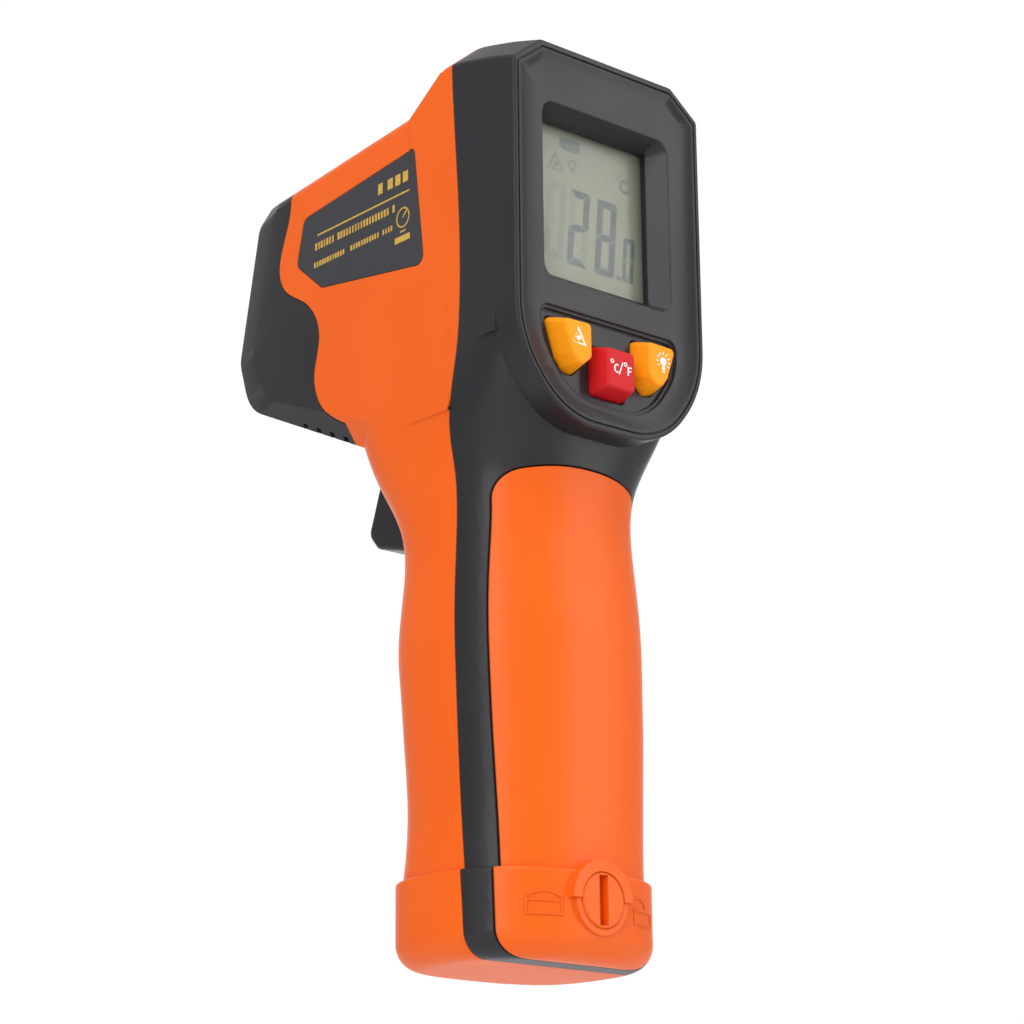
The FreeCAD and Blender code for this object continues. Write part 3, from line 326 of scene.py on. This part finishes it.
def cellJacket(low, high):
    # printed film jacket with a paler band, bare metal at both ends
    finish = Finish("cellJacket")
    height = (finish.along("Z") - low) * (1 / (high - low))
    ends = ((height < 0.028) + (height > 0.972)).clamped()
    band = (height > 0.7) * (height < 0.93)
    line = (height > 0.675) * (height < 0.69)
    speck = finish.noise(1200, 3)
    edge, rounded = finish.edges(0.00015, 2.0)
    colour = finish.mix(band, linear(38, 44, 52), linear(186, 150, 74))
    colour = finish.mix(line, colour, linear(210, 210, 206))
    colour = finish.mix(ends, colour, linear(198, 198, 202))
    bump = finish.bump(speck, 0.15, 0.00002, rounded)
    return finish.close({"Base Color": colour, "Metallic": (ends * 0.9 + band * 0.4).clamped(),
                         "Roughness": 0.3 + (speck - 0.5) * 0.2, "Normal": bump, "Coat Weight": 0.4})


lcdLow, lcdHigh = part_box("lcd_panel")
cellLow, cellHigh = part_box("batteries")
finishes["clearPane"] = clearPane()
finishes["displayGlass"] = displayGlass(lcdLow.x, lcdHigh.x)
finishes["boardMask"] = boardMask()
finishes["lensCoating"] = lensCoating()
finishes["cellJacket"] = cellJacket(cellLow.z, cellHigh.z)
print("finishes mixed:", len(finishes))

slotFinish = {
    "orange_abs": "orangeShell", "black_abs": "blackShell", "label_film": "labelFilm",
    "clear_window": "clearPane", "lcd_glass": "displayGlass", "infrared_lens": "lensCoating",
    "amber_rubber": "amberKey", "red_rubber": "redKey", "dark_silicone": "zebraRubber",
    "white_plastic": "whitePart", "black_nylon": "blackPart", "board_green": "boardMask",
    "steel": "steel", "brass": "brass", "cell_jacket": "cellJacket",
}
slotOf = {part["node"]: part["material_slot"] for part in frame["record"]["subparts"]}
bodyOf = {}
for bodyName, members in frame["record"]["behaviour"]["bodies"].items():
    for member in members:
        bodyOf[member] = bodyName

for nodeName, node in nodes.items():
    node.data.materials.clear()
    node.data.materials.append(finishes[slotFinish[slotOf[nodeName]]])


# pieces with smooth shading in place of the plain ones
def link(name, mesh):
    piece = bpy.data.objects.new(name, mesh)
    scene.collection.objects.link(piece)
    return piece


def plainMesh(piece):
    graph = bpy.context.evaluated_depsgraph_get()
    graph.update()
    return bpy.data.meshes.new_from_object(piece.evaluated_get(graph))


weld = {"points": 2e-6, "slivers": 1e-7}


def smoothCopy(name, nodeName, angle):
    mesh = nodes[nodeName].data.copy()
    work = bmesh.new()
    work.from_mesh(mesh)
    bmesh.ops.remove_doubles(work, verts=work.verts, dist=weld["points"])
    bmesh.ops.dissolve_degenerate(work, dist=weld["slivers"], edges=work.edges)
    for face in work.faces:
        face.smooth = True
    work.to_mesh(mesh)
    work.free()
    for leftover in ("custom_normal", "sharp_edge", "sharp_face"):
        if leftover in mesh.attributes:
            mesh.attributes.remove(mesh.attributes[leftover])
    mesh.shade_smooth()
    mesh.set_sharp_from_angle(angle=math.radians(angle))
    piece = link(name, mesh)
    weigh = piece.modifiers.new("evenShading", "WEIGHTED_NORMAL")
    weigh.mode = "FACE_AREA"
    weigh.keep_sharp = True
    piece.data = plainMesh(piece)
    piece.modifiers.clear()
    piece.data.materials.clear()
    piece.data.materials.append(finishes[slotFinish[slotOf[nodeName]]])
    return piece


smoothPieces = {
    # piece: (node it stands for, angle above which an edge stays crisp)
    "rearShell": ("rear_housing", 28), "frontShell": ("front_housing", 28), "noseShell": ("nose_cap", 28),
    "labelLeft": ("side_label_left", 28), "labelRight": ("side_label_right", 28),
    "batteryDoor": ("battery_cover", 28), "coinLock": ("cover_lock", 30),
    "triggerLever": ("trigger", 30), "laserKey": ("laser_button", 30),
    "unitKey": ("unit_button", 30), "lampKey": ("backlight_button", 30), "lensDome": ("ir_lens", 30),
    "lensTube": ("sensor_tube", 30), "lensRing": ("lens_retaining_ring", 30),
    "laserBarrel": ("laser_module", 30),
    "cells": ("batteries", 30), "caseScrews": ("housing_screws", 30), "boardScrews": ("board_screws", 30),
    "pivotPin": ("trigger_pin", 30), "returnSpring": ("trigger_spring", 40), "beeper": ("buzzer", 30),
}
shells = {}
for pieceName, (nodeName, angle) in smoothPieces.items():
    shells[pieceName] = smoothCopy(pieceName, nodeName, angle)
print("smooth pieces made:", len(shells))


# flat artwork, dropped on to the surface under it
def surfaceOf(piece):
    mesh = piece.data
    return BVHTree.FromPolygons([v.co for v in mesh.vertices], [list(p.vertices) for p in mesh.polygons])


rayStart = 0.015    # where the rays set out from, in front of the plane


def artwork(name, faces, plane, surface, lift, finishName, sink=0.03):
    # faces: corners in millimetres on the plane; plane: (origin, across, up, into the surface)
    origin, across, up, into = plane
    work = bmesh.new()
    corners = {}

    def corner(u, v):
        key = (round(u, 3), round(v, 3))
        if key not in corners:
            start = origin + across * (u * mm) + up * (v * mm) - into * rayStart
            hit = surface.ray_cast(start, into)[0]
            hit = hit if hit is not None else start + into * rayStart
            upper = work.verts.new(hit - into * (lift * mm))
            lower = work.verts.new(hit + into * (sink * mm))
            corners[key] = (upper, lower)
        return corners[key]

    sides = {}
    for face in faces:
        pairs = [corner(u, v) for u, v in face]
        work.faces.new([pair[0] for pair in pairs])
        work.faces.new([pair[1] for pair in reversed(pairs)])
        for first, second in zip(pairs, pairs[1:] + pairs[:1]):
            key = frozenset((first[0], second[0]))
            sides[key] = None if key in sides else (first, second)
    for pair in sides.values():
        if pair is not None:
            first, second = pair
            work.faces.new([second[0], first[0], first[1], second[1]])
    bmesh.ops.recalc_face_normals(work, faces=work.faces)
    mesh = bpy.data.meshes.new(name)
    work.to_mesh(mesh)
    work.free()
    mesh.materials.append(finishes[finishName])
    return link(name, mesh)


sharpestMitre = 0.4


def stroke(points, width, closed=False):
    # quads that follow a line of points, mitred at its corners
    count = len(points)
    line = [Vector(point) for point in points]
    edges = []
    for i, point in enumerate(line):
        back = line[i - 1] if i > 0 or closed else None
        ahead = line[(i + 1) % count] if i < count - 1 or closed else None
        first = (point - back).normalized() if back is not None else (ahead - point).normalized()
        second = (ahead - point).normalized() if ahead is not None else first
        middle = (first + second).normalized()
        normal = Vector((-middle.y, middle.x))
        reach = width / 2 / max(normal.dot(Vector((-first.y, first.x))), sharpestMitre)
        edges.append((point + normal * reach, point - normal * reach))
    faces = []
    for i in range(count if closed else count - 1):
        a, b = edges[i], edges[(i + 1) % count]
        faces.append([tuple(a[0]), tuple(a[1]), tuple(b[1]), tuple(b[0])])
    return faces


def arc(x, z, radius, start, end, steps=16):
    points = []
    for i in range(steps + 1):
        angle = math.radians(start + (end - start) * i / steps)
        points.append((x + radius * math.cos(angle), z + radius * math.sin(angle)))
    return points


def ring(x, z, radius, width, steps=18):
    return stroke(arc(x, z, radius, 0, 360, steps)[:-1], width, True)


def disc(x, z, radius, steps=20):
    return [arc(x, z, radius, 0, 360, steps)[:-1]]


def slab(x0, z0, x1, z1):
    return [[(x0, z0), (x1, z0), (x1, z1), (x0, z1)]]


def finely(points, step=0.8):
    # the same line with more points, so that it can follow a curved surface
    fine = []
    for (ax, az), (bx, bz) in zip(points, points[1:]):
        parts = max(1, round(math.hypot(bx - ax, bz - az) / step))
        for i in range(parts):
            fine.append((ax + (bx - ax) * i / parts, az + (bz - az) * i / parts))
    return fine + [points[-1]]


def digit(lit, x, z, width, height, bar, lean):
    # seven bars with mitred ends; lit names the ones that are on
    gap = bar * 0.11
    half = height / 2
    mid = bar * 0.46
    inner = width - bar
    bars = {
        "a": [(gap, height), (width - gap, height), (inner - gap, height - bar), (bar + gap, height - bar)],
        "b": [(width, height - gap), (width, half + gap), (inner, half + mid + gap),
              (inner, height - bar - gap)],
        "c": [(width, half - gap), (width, gap), (inner, bar + gap), (inner, half - mid - gap)],
        "d": [(gap, 0), (bar + gap, bar), (inner - gap, bar), (width - gap, 0)],
        "e": [(0, gap), (0, half - gap), (bar, half - mid - gap), (bar, bar + gap)],
        "f": [(0, half + gap), (0, height - gap), (bar, height - bar - gap), (bar, half + mid + gap)],
        "g": [(gap * 2, half), (bar + gap, half + mid), (inner - gap, half + mid), (width - gap * 2, half),
              (inner - gap, half - mid), (bar + gap, half - mid)],
    }
    slope = math.tan(math.radians(lean))
    return [[(x + px + pz * slope, z + pz) for px, pz in bars[name]] for name in lit]


# geometry node trees
def growTree(name, inputs):
    tree = bpy.data.node_groups.new(name, "GeometryNodeTree")
    for label, kind in inputs:
        tree.interface.new_socket(label, in_out="INPUT", socket_type=kind)
    tree.interface.new_socket("Geometry", in_out="OUTPUT", socket_type="NodeSocketGeometry")
    return tree


def treeNode(tree, kind, settings=None, links=None):
    made = tree.nodes.new(kind)
    for key, value in (settings or {}).items():
        setattr(made, key, value)
    for key, value in (links or {}).items():
        if isinstance(value, bpy.types.NodeSocket):
            tree.links.new(value, made.inputs[key])
        else:
            made.inputs[key].default_value = value
    return made


def treeMaths(tree, operation, *values):
    return treeNode(tree, "ShaderNodeMath", {"operation": operation}, dict(enumerate(values))).outputs[0]


def treeGrid(tree, width, height):
    values = {"Size X": width, "Size Y": height, "Vertices X": 2, "Vertices Y": 2}
    return treeNode(tree, "GeometryNodeMeshGrid", {}, values).outputs[0]


def closeTree(tree, geometry, material):
    real = treeNode(tree, "GeometryNodeRealizeInstances", {}, {0: geometry})
    dressed = treeNode(tree, "GeometryNodeSetMaterial", {},
                       {"Geometry": real.outputs[0], "Material": material})
    treeNode(tree, "NodeGroupOutput", {}, {0: dressed.outputs[0]})


def grow(name, tree, values):
    piece = link(name, bpy.data.meshes.new(name))
    modifier = piece.modifiers.new("grow", "NODES")
    modifier.node_group = tree
    for item in tree.interface.items_tree:
        if item.in_out == "INPUT" and item.name in values:
            modifier[item.identifier] = values[item.name]
    mesh = plainMesh(piece)
    bpy.data.objects.remove(piece)
    return mesh


def flatFaces(mesh):
    return [[(mesh.vertices[i].co.x, mesh.vertices[i].co.y) for i in face.vertices] for face in mesh.polygons]


def rayTree():
    # short bars set round part of a circle
    tree = growTree("rays", [("Count", "NodeSocketInt"), ("Radius", "NodeSocketFloat"),
                             ("Length", "NodeSocketFloat"), ("Width", "NodeSocketFloat"),
                             ("Start", "NodeSocketFloat"), ("Sweep", "NodeSocketFloat")])
    given = treeNode(tree, "NodeGroupInput").outputs
    index = treeNode(tree, "GeometryNodeInputIndex").outputs[0]
    last = treeMaths(tree, "SUBTRACT", given["Count"], 1.0)
    share = treeMaths(tree, "DIVIDE", index, last)
    angle = treeMaths(tree, "MULTIPLY_ADD", share, given["Sweep"], given["Start"])
    x = treeMaths(tree, "MULTIPLY", treeMaths(tree, "COSINE", angle), given["Radius"])
    y = treeMaths(tree, "MULTIPLY", treeMaths(tree, "SINE", angle), given["Radius"])
    where = treeNode(tree, "ShaderNodeCombineXYZ", {}, {0: x, 1: y}).outputs[0]
    points = treeNode(tree, "GeometryNodePoints", {}, {"Count": given["Count"], "Position": where}).outputs[0]
    bar = treeGrid(tree, given["Length"], given["Width"])
    turn = treeNode(tree, "ShaderNodeCombineXYZ", {}, {2: angle}).outputs[0]
    spin = treeNode(tree, "FunctionNodeEulerToRotation", {}, {0: turn}).outputs[0]
    fan = treeNode(tree, "GeometryNodeInstanceOnPoints", {},
                   {"Points": points, "Instance": bar, "Rotation": spin})
    closeTree(tree, fan.outputs[0], finishes["whitePrint"])
    return tree


def rowTree():
    # a row of upright marks of uneven width with a few gaps, like a line of small print
    tree = growTree("printRow", [("Count", "NodeSocketInt"), ("Pitch", "NodeSocketFloat"),
                                 ("Height", "NodeSocketFloat"), ("Seed", "NodeSocketInt")])
    given = treeNode(tree, "NodeGroupInput").outputs
    step = treeNode(tree, "ShaderNodeCombineXYZ", {}, {0: given["Pitch"]}).outputs[0]
    row = treeNode(tree, "GeometryNodeMeshLine", {"mode": "OFFSET"},
                   {"Count": given["Count"], "Offset": step}).outputs[0]
    bar = treeGrid(tree, 1.0, 1.0)
    thinnest, widest, kept = 0.42, 0.78, 0.88
    wide = treeNode(tree, "FunctionNodeRandomValue", {"data_type": "FLOAT"},
                    {2: thinnest, 3: widest, "Seed": given["Seed"]})
    width = treeMaths(tree, "MULTIPLY", wide.outputs[1], given["Pitch"])
    size = treeNode(tree, "ShaderNodeCombineXYZ", {}, {0: width, 1: given["Height"], 2: 1.0}).outputs[0]
    keep = treeNode(tree, "FunctionNodeRandomValue", {"data_type": "BOOLEAN"},
                    {"Probability": kept, "Seed": given["Seed"]})
    marks = treeNode(tree, "GeometryNodeInstanceOnPoints", {}, {"Points": row, "Instance": bar, "Scale": size,
                                                               "Selection": keep.outputs[3]})
    closeTree(tree, marks.outputs[0], finishes["goldPrint"])
    return tree


def coilTree():
    # wire wound into a cone
    tree = growTree("coil", [("Turns", "NodeSocketFloat"), ("Wide", "NodeSocketFloat"),
                             ("Narrow", "NodeSocketFloat"), ("Height", "NodeSocketFloat"),
                             ("Wire", "NodeSocketFloat")])
    given = treeNode(tree, "NodeGroupInput").outputs
    sizes = {"Resolution": 28, "Rotations": given["Turns"], "Start Radius": given["Wide"],
             "End Radius": given["Narrow"], "Height": given["Height"]}
    path = treeNode(tree, "GeometryNodeCurveSpiral", {}, sizes).outputs[0]
    section = treeNode(tree, "GeometryNodeCurvePrimitiveCircle", {},
                       {"Resolution": 8, "Radius": given["Wire"]}).outputs[0]
    wire = treeNode(tree, "GeometryNodeCurveToMesh", {},
                    {"Curve": path, "Profile Curve": section, "Fill Caps": True})
    closeTree(tree, wire.outputs[0], finishes["steel"])
    return tree


# display: places are in millimetres from the middle of the glass, across and up
displayArt = {
    "lean": 5.0,
    # width, height, width of a bar
    "bigDigit": (4.6, 14.1, 1.35), "smallDigit": (2.6, 8.2, 0.85),
    "hundreds": (-10.2, -9.6), "tens": (-4.75, -9.9), "units": (1.75, -10.1), "tenths": (8.4, -9.9),
    "point": (7.2, -9.95, 7.95, -9.2),
    "unlitBars": [(-0.9, 7.6, 3.6, 7.85), (4.9, 7.0, 5.15, 8.9), (5.15, 8.65, 6.2, 8.9),
                  (5.15, 7.85, 5.9, 8.1)],
    "scanFlag": (-6.0, 11.1, -1.3, 13.3),
    "beamSign": [(-7.05, 9.9), (-8.75, 6.85), (-5.35, 6.85)], "beamLine": 0.26,
    "beamDot": (-7.05, 7.85, 0.42),
    "lampBulb": (-3.02, 8.75, 0.8, 0.24), "lampFoot": [(-3.4, 7.45, -2.6, 7.7), (-3.3, 7.0, -2.7, 7.2)],
    "degree": (8.0, 9.35, 0.36, 0.2, 12), "celsius": (9.6, 7.95, 1.1, 48, 312, 18), "celsiusLine": 0.36,
    # ink: how far it stands off the glass
    "lifts": {"ghostInk": 0.02, "segmentInk": 0.04, "iconInk": 0.03},
}


def slabs(corners):
    return [face for four in corners for face in slab(*four)]


def frontPlane(nodeName):
    # the face turned to the user, with its origin at the middle of the part's box
    low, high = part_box(nodeName)
    centre = (low + high) / 2
    return (Vector((centre.x, low.y, centre.z)), Vector((1, 0, 0)), Vector((0, 0, 1)), Vector((0, 1, 0)))


def makeDisplay():
    facts = displayArt
    lean = facts["lean"]
    big, small = facts["bigDigit"], facts["smallDigit"]
    unlit = digit("abcdefg", *facts["hundreds"], *big, lean)
    unlit += digit("fc", *facts["tens"], *big, lean)
    unlit += digit("g", *facts["tenths"], *small, lean)
    unlit += slabs(facts["unlitBars"])
    lit = digit("abged", *facts["tens"], *big, lean)
    lit += digit("abcdefg", *facts["units"], *big, lean)
    lit += digit("abcdef", *facts["tenths"], *small, lean)
    lit += slab(*facts["point"])
    lit += stroke(arc(*facts["celsius"]), facts["celsiusLine"])
    icons = slab(*facts["scanFlag"])
    icons += stroke(facts["beamSign"], facts["beamLine"], True) + disc(*facts["beamDot"])
    icons += ring(*facts["lampBulb"]) + slabs(facts["lampFoot"])
    icons += ring(*facts["degree"])
    plane = frontPlane("lcd_panel")
    surface = surfaceOf(nodes["lcd_panel"])
    pieces = []
    for name, faces, ink in (("displayGhost", unlit, "ghostInk"), ("displayDigits", lit, "segmentInk"),
                             ("displayIcons", icons, "iconInk")):
        pieces.append(artwork(name, faces, plane, surface, facts["lifts"][ink], ink))
    return pieces


# keys: each sign is drawn about the middle of its key, then drawn smaller to stay on the flat of its face
keyArt = {
    "lift": 0.05, "line": 0.34,
    "beam": [(0.15, 2.45), (-1.5, -0.45), (1.8, -0.45)], "beamDot": (0.16, 0.6, 0.48),
    "degrees": [(-2.3, 1.35, 0.36, 0.2, 14), (1.38, 1.35, 0.36, 0.2, 14)],
    # two quarter turns and a bit, one over the other
    "celsius": [(-1.0, 0.2, 0.62, 55, 180, 8), (-1.0, -0.15, 0.62, 180, 305, 8)], "celsiusLine": 0.3,
    "stroke": [(-0.45, -1.15), (0.65, 1.6)], "strokeLine": 0.26,
    "fahrenheit": [(1.95, -0.85, 2.25, 1.0), (2.25, 0.7, 3.1, 1.0), (2.25, -0.05, 2.95, 0.22)],
    "bulb": (-0.04, 0.95, 0.82), "bulbFoot": [(-0.38, -0.85, 0.3, 0.25), (-0.38, -1.35, 0.3, -1.08)],
    "rays": {"Count": 9, "Radius": 1.62, "Length": 0.6, "Width": 0.22,
             "Start": math.radians(-35), "Sweep": math.radians(250)},
    # sign: how much smaller, how far to the side
    "laser": (0.92, 0.0), "unit": (0.84, -0.3), "lamp": (0.88, -0.1),
}


def makeKeyArt():
    facts = keyArt
    beam = stroke(facts["beam"], facts["line"], True) + disc(*facts["beamDot"])
    firstDegree, secondDegree = facts["degrees"]
    upper, lower = facts["celsius"]
    units = ring(*firstDegree) + stroke(arc(*upper) + arc(*lower), facts["celsiusLine"])
    units += stroke(facts["stroke"], facts["strokeLine"]) + ring(*secondDegree)
    units += slabs(facts["fahrenheit"])
    lamp = disc(*facts["bulb"]) + slabs(facts["bulbFoot"])
    rays = grow("rays", rayTree(), facts["rays"])
    bulbX, bulbZ, bulbRadius = facts["bulb"]
    lamp += [[(x + bulbX, z + bulbZ) for x, z in face] for face in flatFaces(rays)]
    made = []
    for name, faces, nodeName, shell, sign in (("laserKeyPrint", beam, "laser_button", "laserKey", "laser"),
                                               ("unitKeyPrint", units, "unit_button", "unitKey", "unit"),
                                               ("lampKeyPrint", lamp, "backlight_button", "lampKey", "lamp")):
        size, shift = facts[sign]
        shrunk = [[(x * size + shift, z * size) for x, z in face] for face in faces]
        surface = surfaceOf(shells[shell])
        piece = artwork(name, shrunk, frontPlane(nodeName), surface, facts["lift"], "whitePrint")
        made.append((piece, nodeName))
    return made


# side labels: places are in millimetres from the middle of the label, forward and up
labelArt = {
    "lift": 0.02, "planeOut": 0.03,
    "rule": (-14.9, 3.71, 12.5), "ruleWidth": 0.32, "ruleStep": 4,
    # front end, height, marks, pitch, size, seed
    "rows": [(12.9, 1.56, 28, 0.86, 1.35, 4), (13.2, -1.94, 30, 0.79, 1.0, 11)],
    # back, bottom, front, top
    "title": [(-14.5, 5.61, -13.0, 7.61), (-12.3, 5.61, -10.8, 7.61), (-10.1, 5.61, -8.6, 7.61),
              (-7.1, 5.61, -5.8, 7.61)],
    "gauge": (-13.0, -0.89, 1.75, 0.28, 28), "needle": [(-13.0, -0.89), (-14.1, 0.21)], "needleWidth": 0.3,
    "gaugeFoot": (-13.8, -3.59, -12.2, -3.29), "footer": (-15.0, -5.39, -10.7, -4.24),
}


def makeLabelArt():
    facts = labelArt
    rowForm = rowTree()
    made = []
    for name, way, shell, nodeName in (("printLeft", -1, "labelLeft", "side_label_left"),
                                       ("printRight", 1, "labelRight", "side_label_right")):
        low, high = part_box(nodeName)
        middle = (low + high) / 2
        origin = Vector((way * facts["planeOut"], middle.y, middle.z))
        plane = (origin, Vector((0, 1, 0)), Vector((0, 0, 1)), Vector((-way, 0, 0)))
        back, height, front = facts["rule"]
        faces = stroke(finely([(back, height), (front, height)], facts["ruleStep"]), facts["ruleWidth"])
        for front, height, count, pitch, tall, seed in facts["rows"]:
            marks = grow("marks", rowForm, {"Count": count, "Pitch": pitch, "Height": tall, "Seed": seed})
            faces += [[(front - u, height + v) for u, v in reversed(face)] for face in flatFaces(marks)]
        faces += slabs(facts["title"])
        # a plain gauge sign over a solid bar
        faces += ring(*facts["gauge"]) + stroke(facts["needle"], facts["needleWidth"])
        faces += slabs([facts["footer"], facts["gaugeFoot"]])
        made.append(artwork(name, faces, plane, surfaceOf(shells[shell]), facts["lift"], "goldPrint"))
    return made


# raised padlock signs on the battery door, each placed from the middle of the coin lock
lockArt = {"lift": 0.16, "sink": 0.1, "line": 0.42, "side": 11.0, "drop": 1.6,
           "halfWidth": 2.9, "bodyBottom": -1.3, "bodyTop": 0.9,
           # middle of the hoop, half its width, height, first and last angle
           "closedHoop": (0.0, 0.9, 2.9, 1.5, 20, 160), "openHoop": (-2.0, 1.7, 2.4, 1.3, -10, 170)}


def padlock(x, z, hoop):
    half, bottom, top = lockArt["halfWidth"], z + lockArt["bodyBottom"], z + lockArt["bodyTop"]
    corners = [(x - half, bottom), (x + half, bottom), (x + half, top), (x - half, top), (x - half, bottom)]
    hoopX, hoopZ, wide, tall, start, end = hoop
    bow = []
    for degrees in range(start, end + 1, 10):
        angle = math.radians(degrees)
        bow.append((x + hoopX + wide * math.cos(angle), z + hoopZ + tall * math.sin(angle)))
    return stroke(finely(corners)[:-1], lockArt["line"], True) + stroke(bow, lockArt["line"])


def makeLockSigns():
    # a flat-footed body under a low hoop; the open one has its hoop lifted on one side
    facts = lockArt
    low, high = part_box("cover_lock")
    middle = (low + high) / 2
    faces = padlock(-facts["side"], -facts["drop"], facts["closedHoop"])
    faces += padlock(facts["side"], -facts["drop"], facts["openHoop"])
    plane = (Vector((middle.x, cadLow.y, middle.z)), Vector((1, 0, 0)), Vector((0, 0, 1)), Vector((0, 1, 0)))
    surface = surfaceOf(shells["batteryDoor"])
    return artwork("lockSigns", faces, plane, surface, facts["lift"], "orangeShell", facts["sink"])


# contact springs of the two cells
springFacts = {"turns": 3.6, "wide": 3.0, "narrow": 1.6, "wire": 0.32, "tall": 2.2}


def makeContactSprings():
    facts = springFacts
    tree = coilTree()
    springLow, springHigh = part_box("battery_springs")
    pitch = (springHigh.x - springLow.x) / 2 - (facts["wide"] + facts["wire"]) * mm
    sizes = {"Turns": facts["turns"], "Wide": facts["wide"] * mm, "Narrow": facts["narrow"] * mm,
             "Height": (facts["tall"] - 2 * facts["wire"]) * mm, "Wire": facts["wire"] * mm}
    work = bmesh.new()
    for side, foot, way in ((-1, springLow.z, 1), (1, springHigh.z, -1)):
        coil = grow("coil", tree, sizes)
        turn = Matrix.Rotation(0 if way > 0 else math.pi, 4, "X")
        start = Vector((side * pitch, (springLow.y + springHigh.y) / 2, foot + way * facts["wire"] * mm))
        coil.transform(Matrix.Translation(start) @ turn)
        work.from_mesh(coil)
    bmesh.ops.recalc_face_normals(work, faces=work.faces)
    for face in work.faces:
        face.smooth = True
    mesh = bpy.data.meshes.new("contactSprings")
    work.to_mesh(mesh)
    work.free()
    mesh.materials.append(finishes["steel"])
    return link("contactSprings", mesh)


displayPieces = makeDisplay()
keyPieces = makeKeyArt()
labelPieces = makeLabelArt()
lockPiece = makeLockSigns()
springPiece = makeContactSprings()
print("artwork and springs made")

# what each piece stands for and rides on
for pieceName in smoothPieces:
    nodeName = smoothPieces[pieceName][0]
    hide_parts(nodeName)
    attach(shells[pieceName], bodyOf[nodeName])
for piece in displayPieces:
    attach(piece, "housing")
for piece, nodeName in keyPieces:
    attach(piece, nodeName)
for piece in labelPieces:
    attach(piece, "housing")
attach(lockPiece, "battery_cover")
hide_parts("battery_springs")
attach(springPiece, "housing")

# floor, light and surroundings
studio = {
    "floorDrop": 0.125, "floorSize": 3.0,
    # strength of the surroundings: as light, and as the camera sees them
    "ambient": 0.52, "backdrop": 1.02,
    # name: (place, height aimed at, width, height, watts)
    "boxes": {"leftBox": ((-0.78, -0.48, 0.42), 0.09, 0.4, 0.9, 4.6),
              "stripBox": ((0.52, -0.6, 0.32), 0.09, 0.1, 0.9, 2.2),
              "topBox": ((-0.2, -0.35, 1.05), 0.1, 0.7, 0.6, 4.4),
              "backBox": ((0.95, 1.1, 0.45), 0.09, 1.5, 1.5, 7.0)},
}


def makeFloor():
    half = studio["floorSize"] / 2
    down = -studio["floorDrop"]
    mesh = bpy.data.meshes.new("floor")
    corners = [(-half, -half, down), (half, -half, down), (half, half, down), (-half, half, down)]
    mesh.from_pydata(corners, [], [(0, 1, 2, 3)])
    finish = Finish("palePaper")
    fibre = finish.noise(400, 4)
    colour = finish.mix(fibre, linear(246, 246, 246), linear(240, 240, 240))
    mesh.materials.append(finish.close({"Base Color": colour, "Roughness": 0.8}))
    link("floor", mesh)


def makeLamps():
    for name, (place, aim, width, height, watts) in studio["boxes"].items():
        data = bpy.data.lights.new(name, "AREA")
        data.shape = "RECTANGLE"
        data.size = width
        data.size_y = height
        data.energy = watts
        holder = bpy.data.objects.new(name, data)
        scene.collection.objects.link(holder)
        toward = Vector((0, 0, aim)) - Vector(place)
        turn = toward.to_track_quat("-Z", "Y").to_matrix().to_4x4()
        holder.matrix_world = Matrix.Translation(place) @ turn


def makeSurroundings():
    world = bpy.data.worlds.new("studio")
    scene.world = world
    world.use_nodes = True
    tree = world.node_tree
    tree.nodes.clear()
    output = tree.nodes.new("ShaderNodeOutputWorld")
    blend = tree.nodes.new("ShaderNodeMixShader")
    rays = tree.nodes.new("ShaderNodeLightPath")
    tree.links.new(rays.outputs["Is Camera Ray"], blend.inputs[0])
    for slot, strength in ((1, studio["ambient"]), (2, studio["backdrop"])):
        glow = tree.nodes.new("ShaderNodeBackground")
        glow.inputs["Strength"].default_value = strength
        glow.inputs["Color"].default_value = (1, 1, 1, 1)
        tree.links.new(glow.outputs[0], blend.inputs[slot])
    tree.links.new(blend.outputs[0], output.inputs[0])


makeFloor()
makeLamps()
makeSurroundings()
scene.view_settings.view_transform = "Standard"
print("studio set")
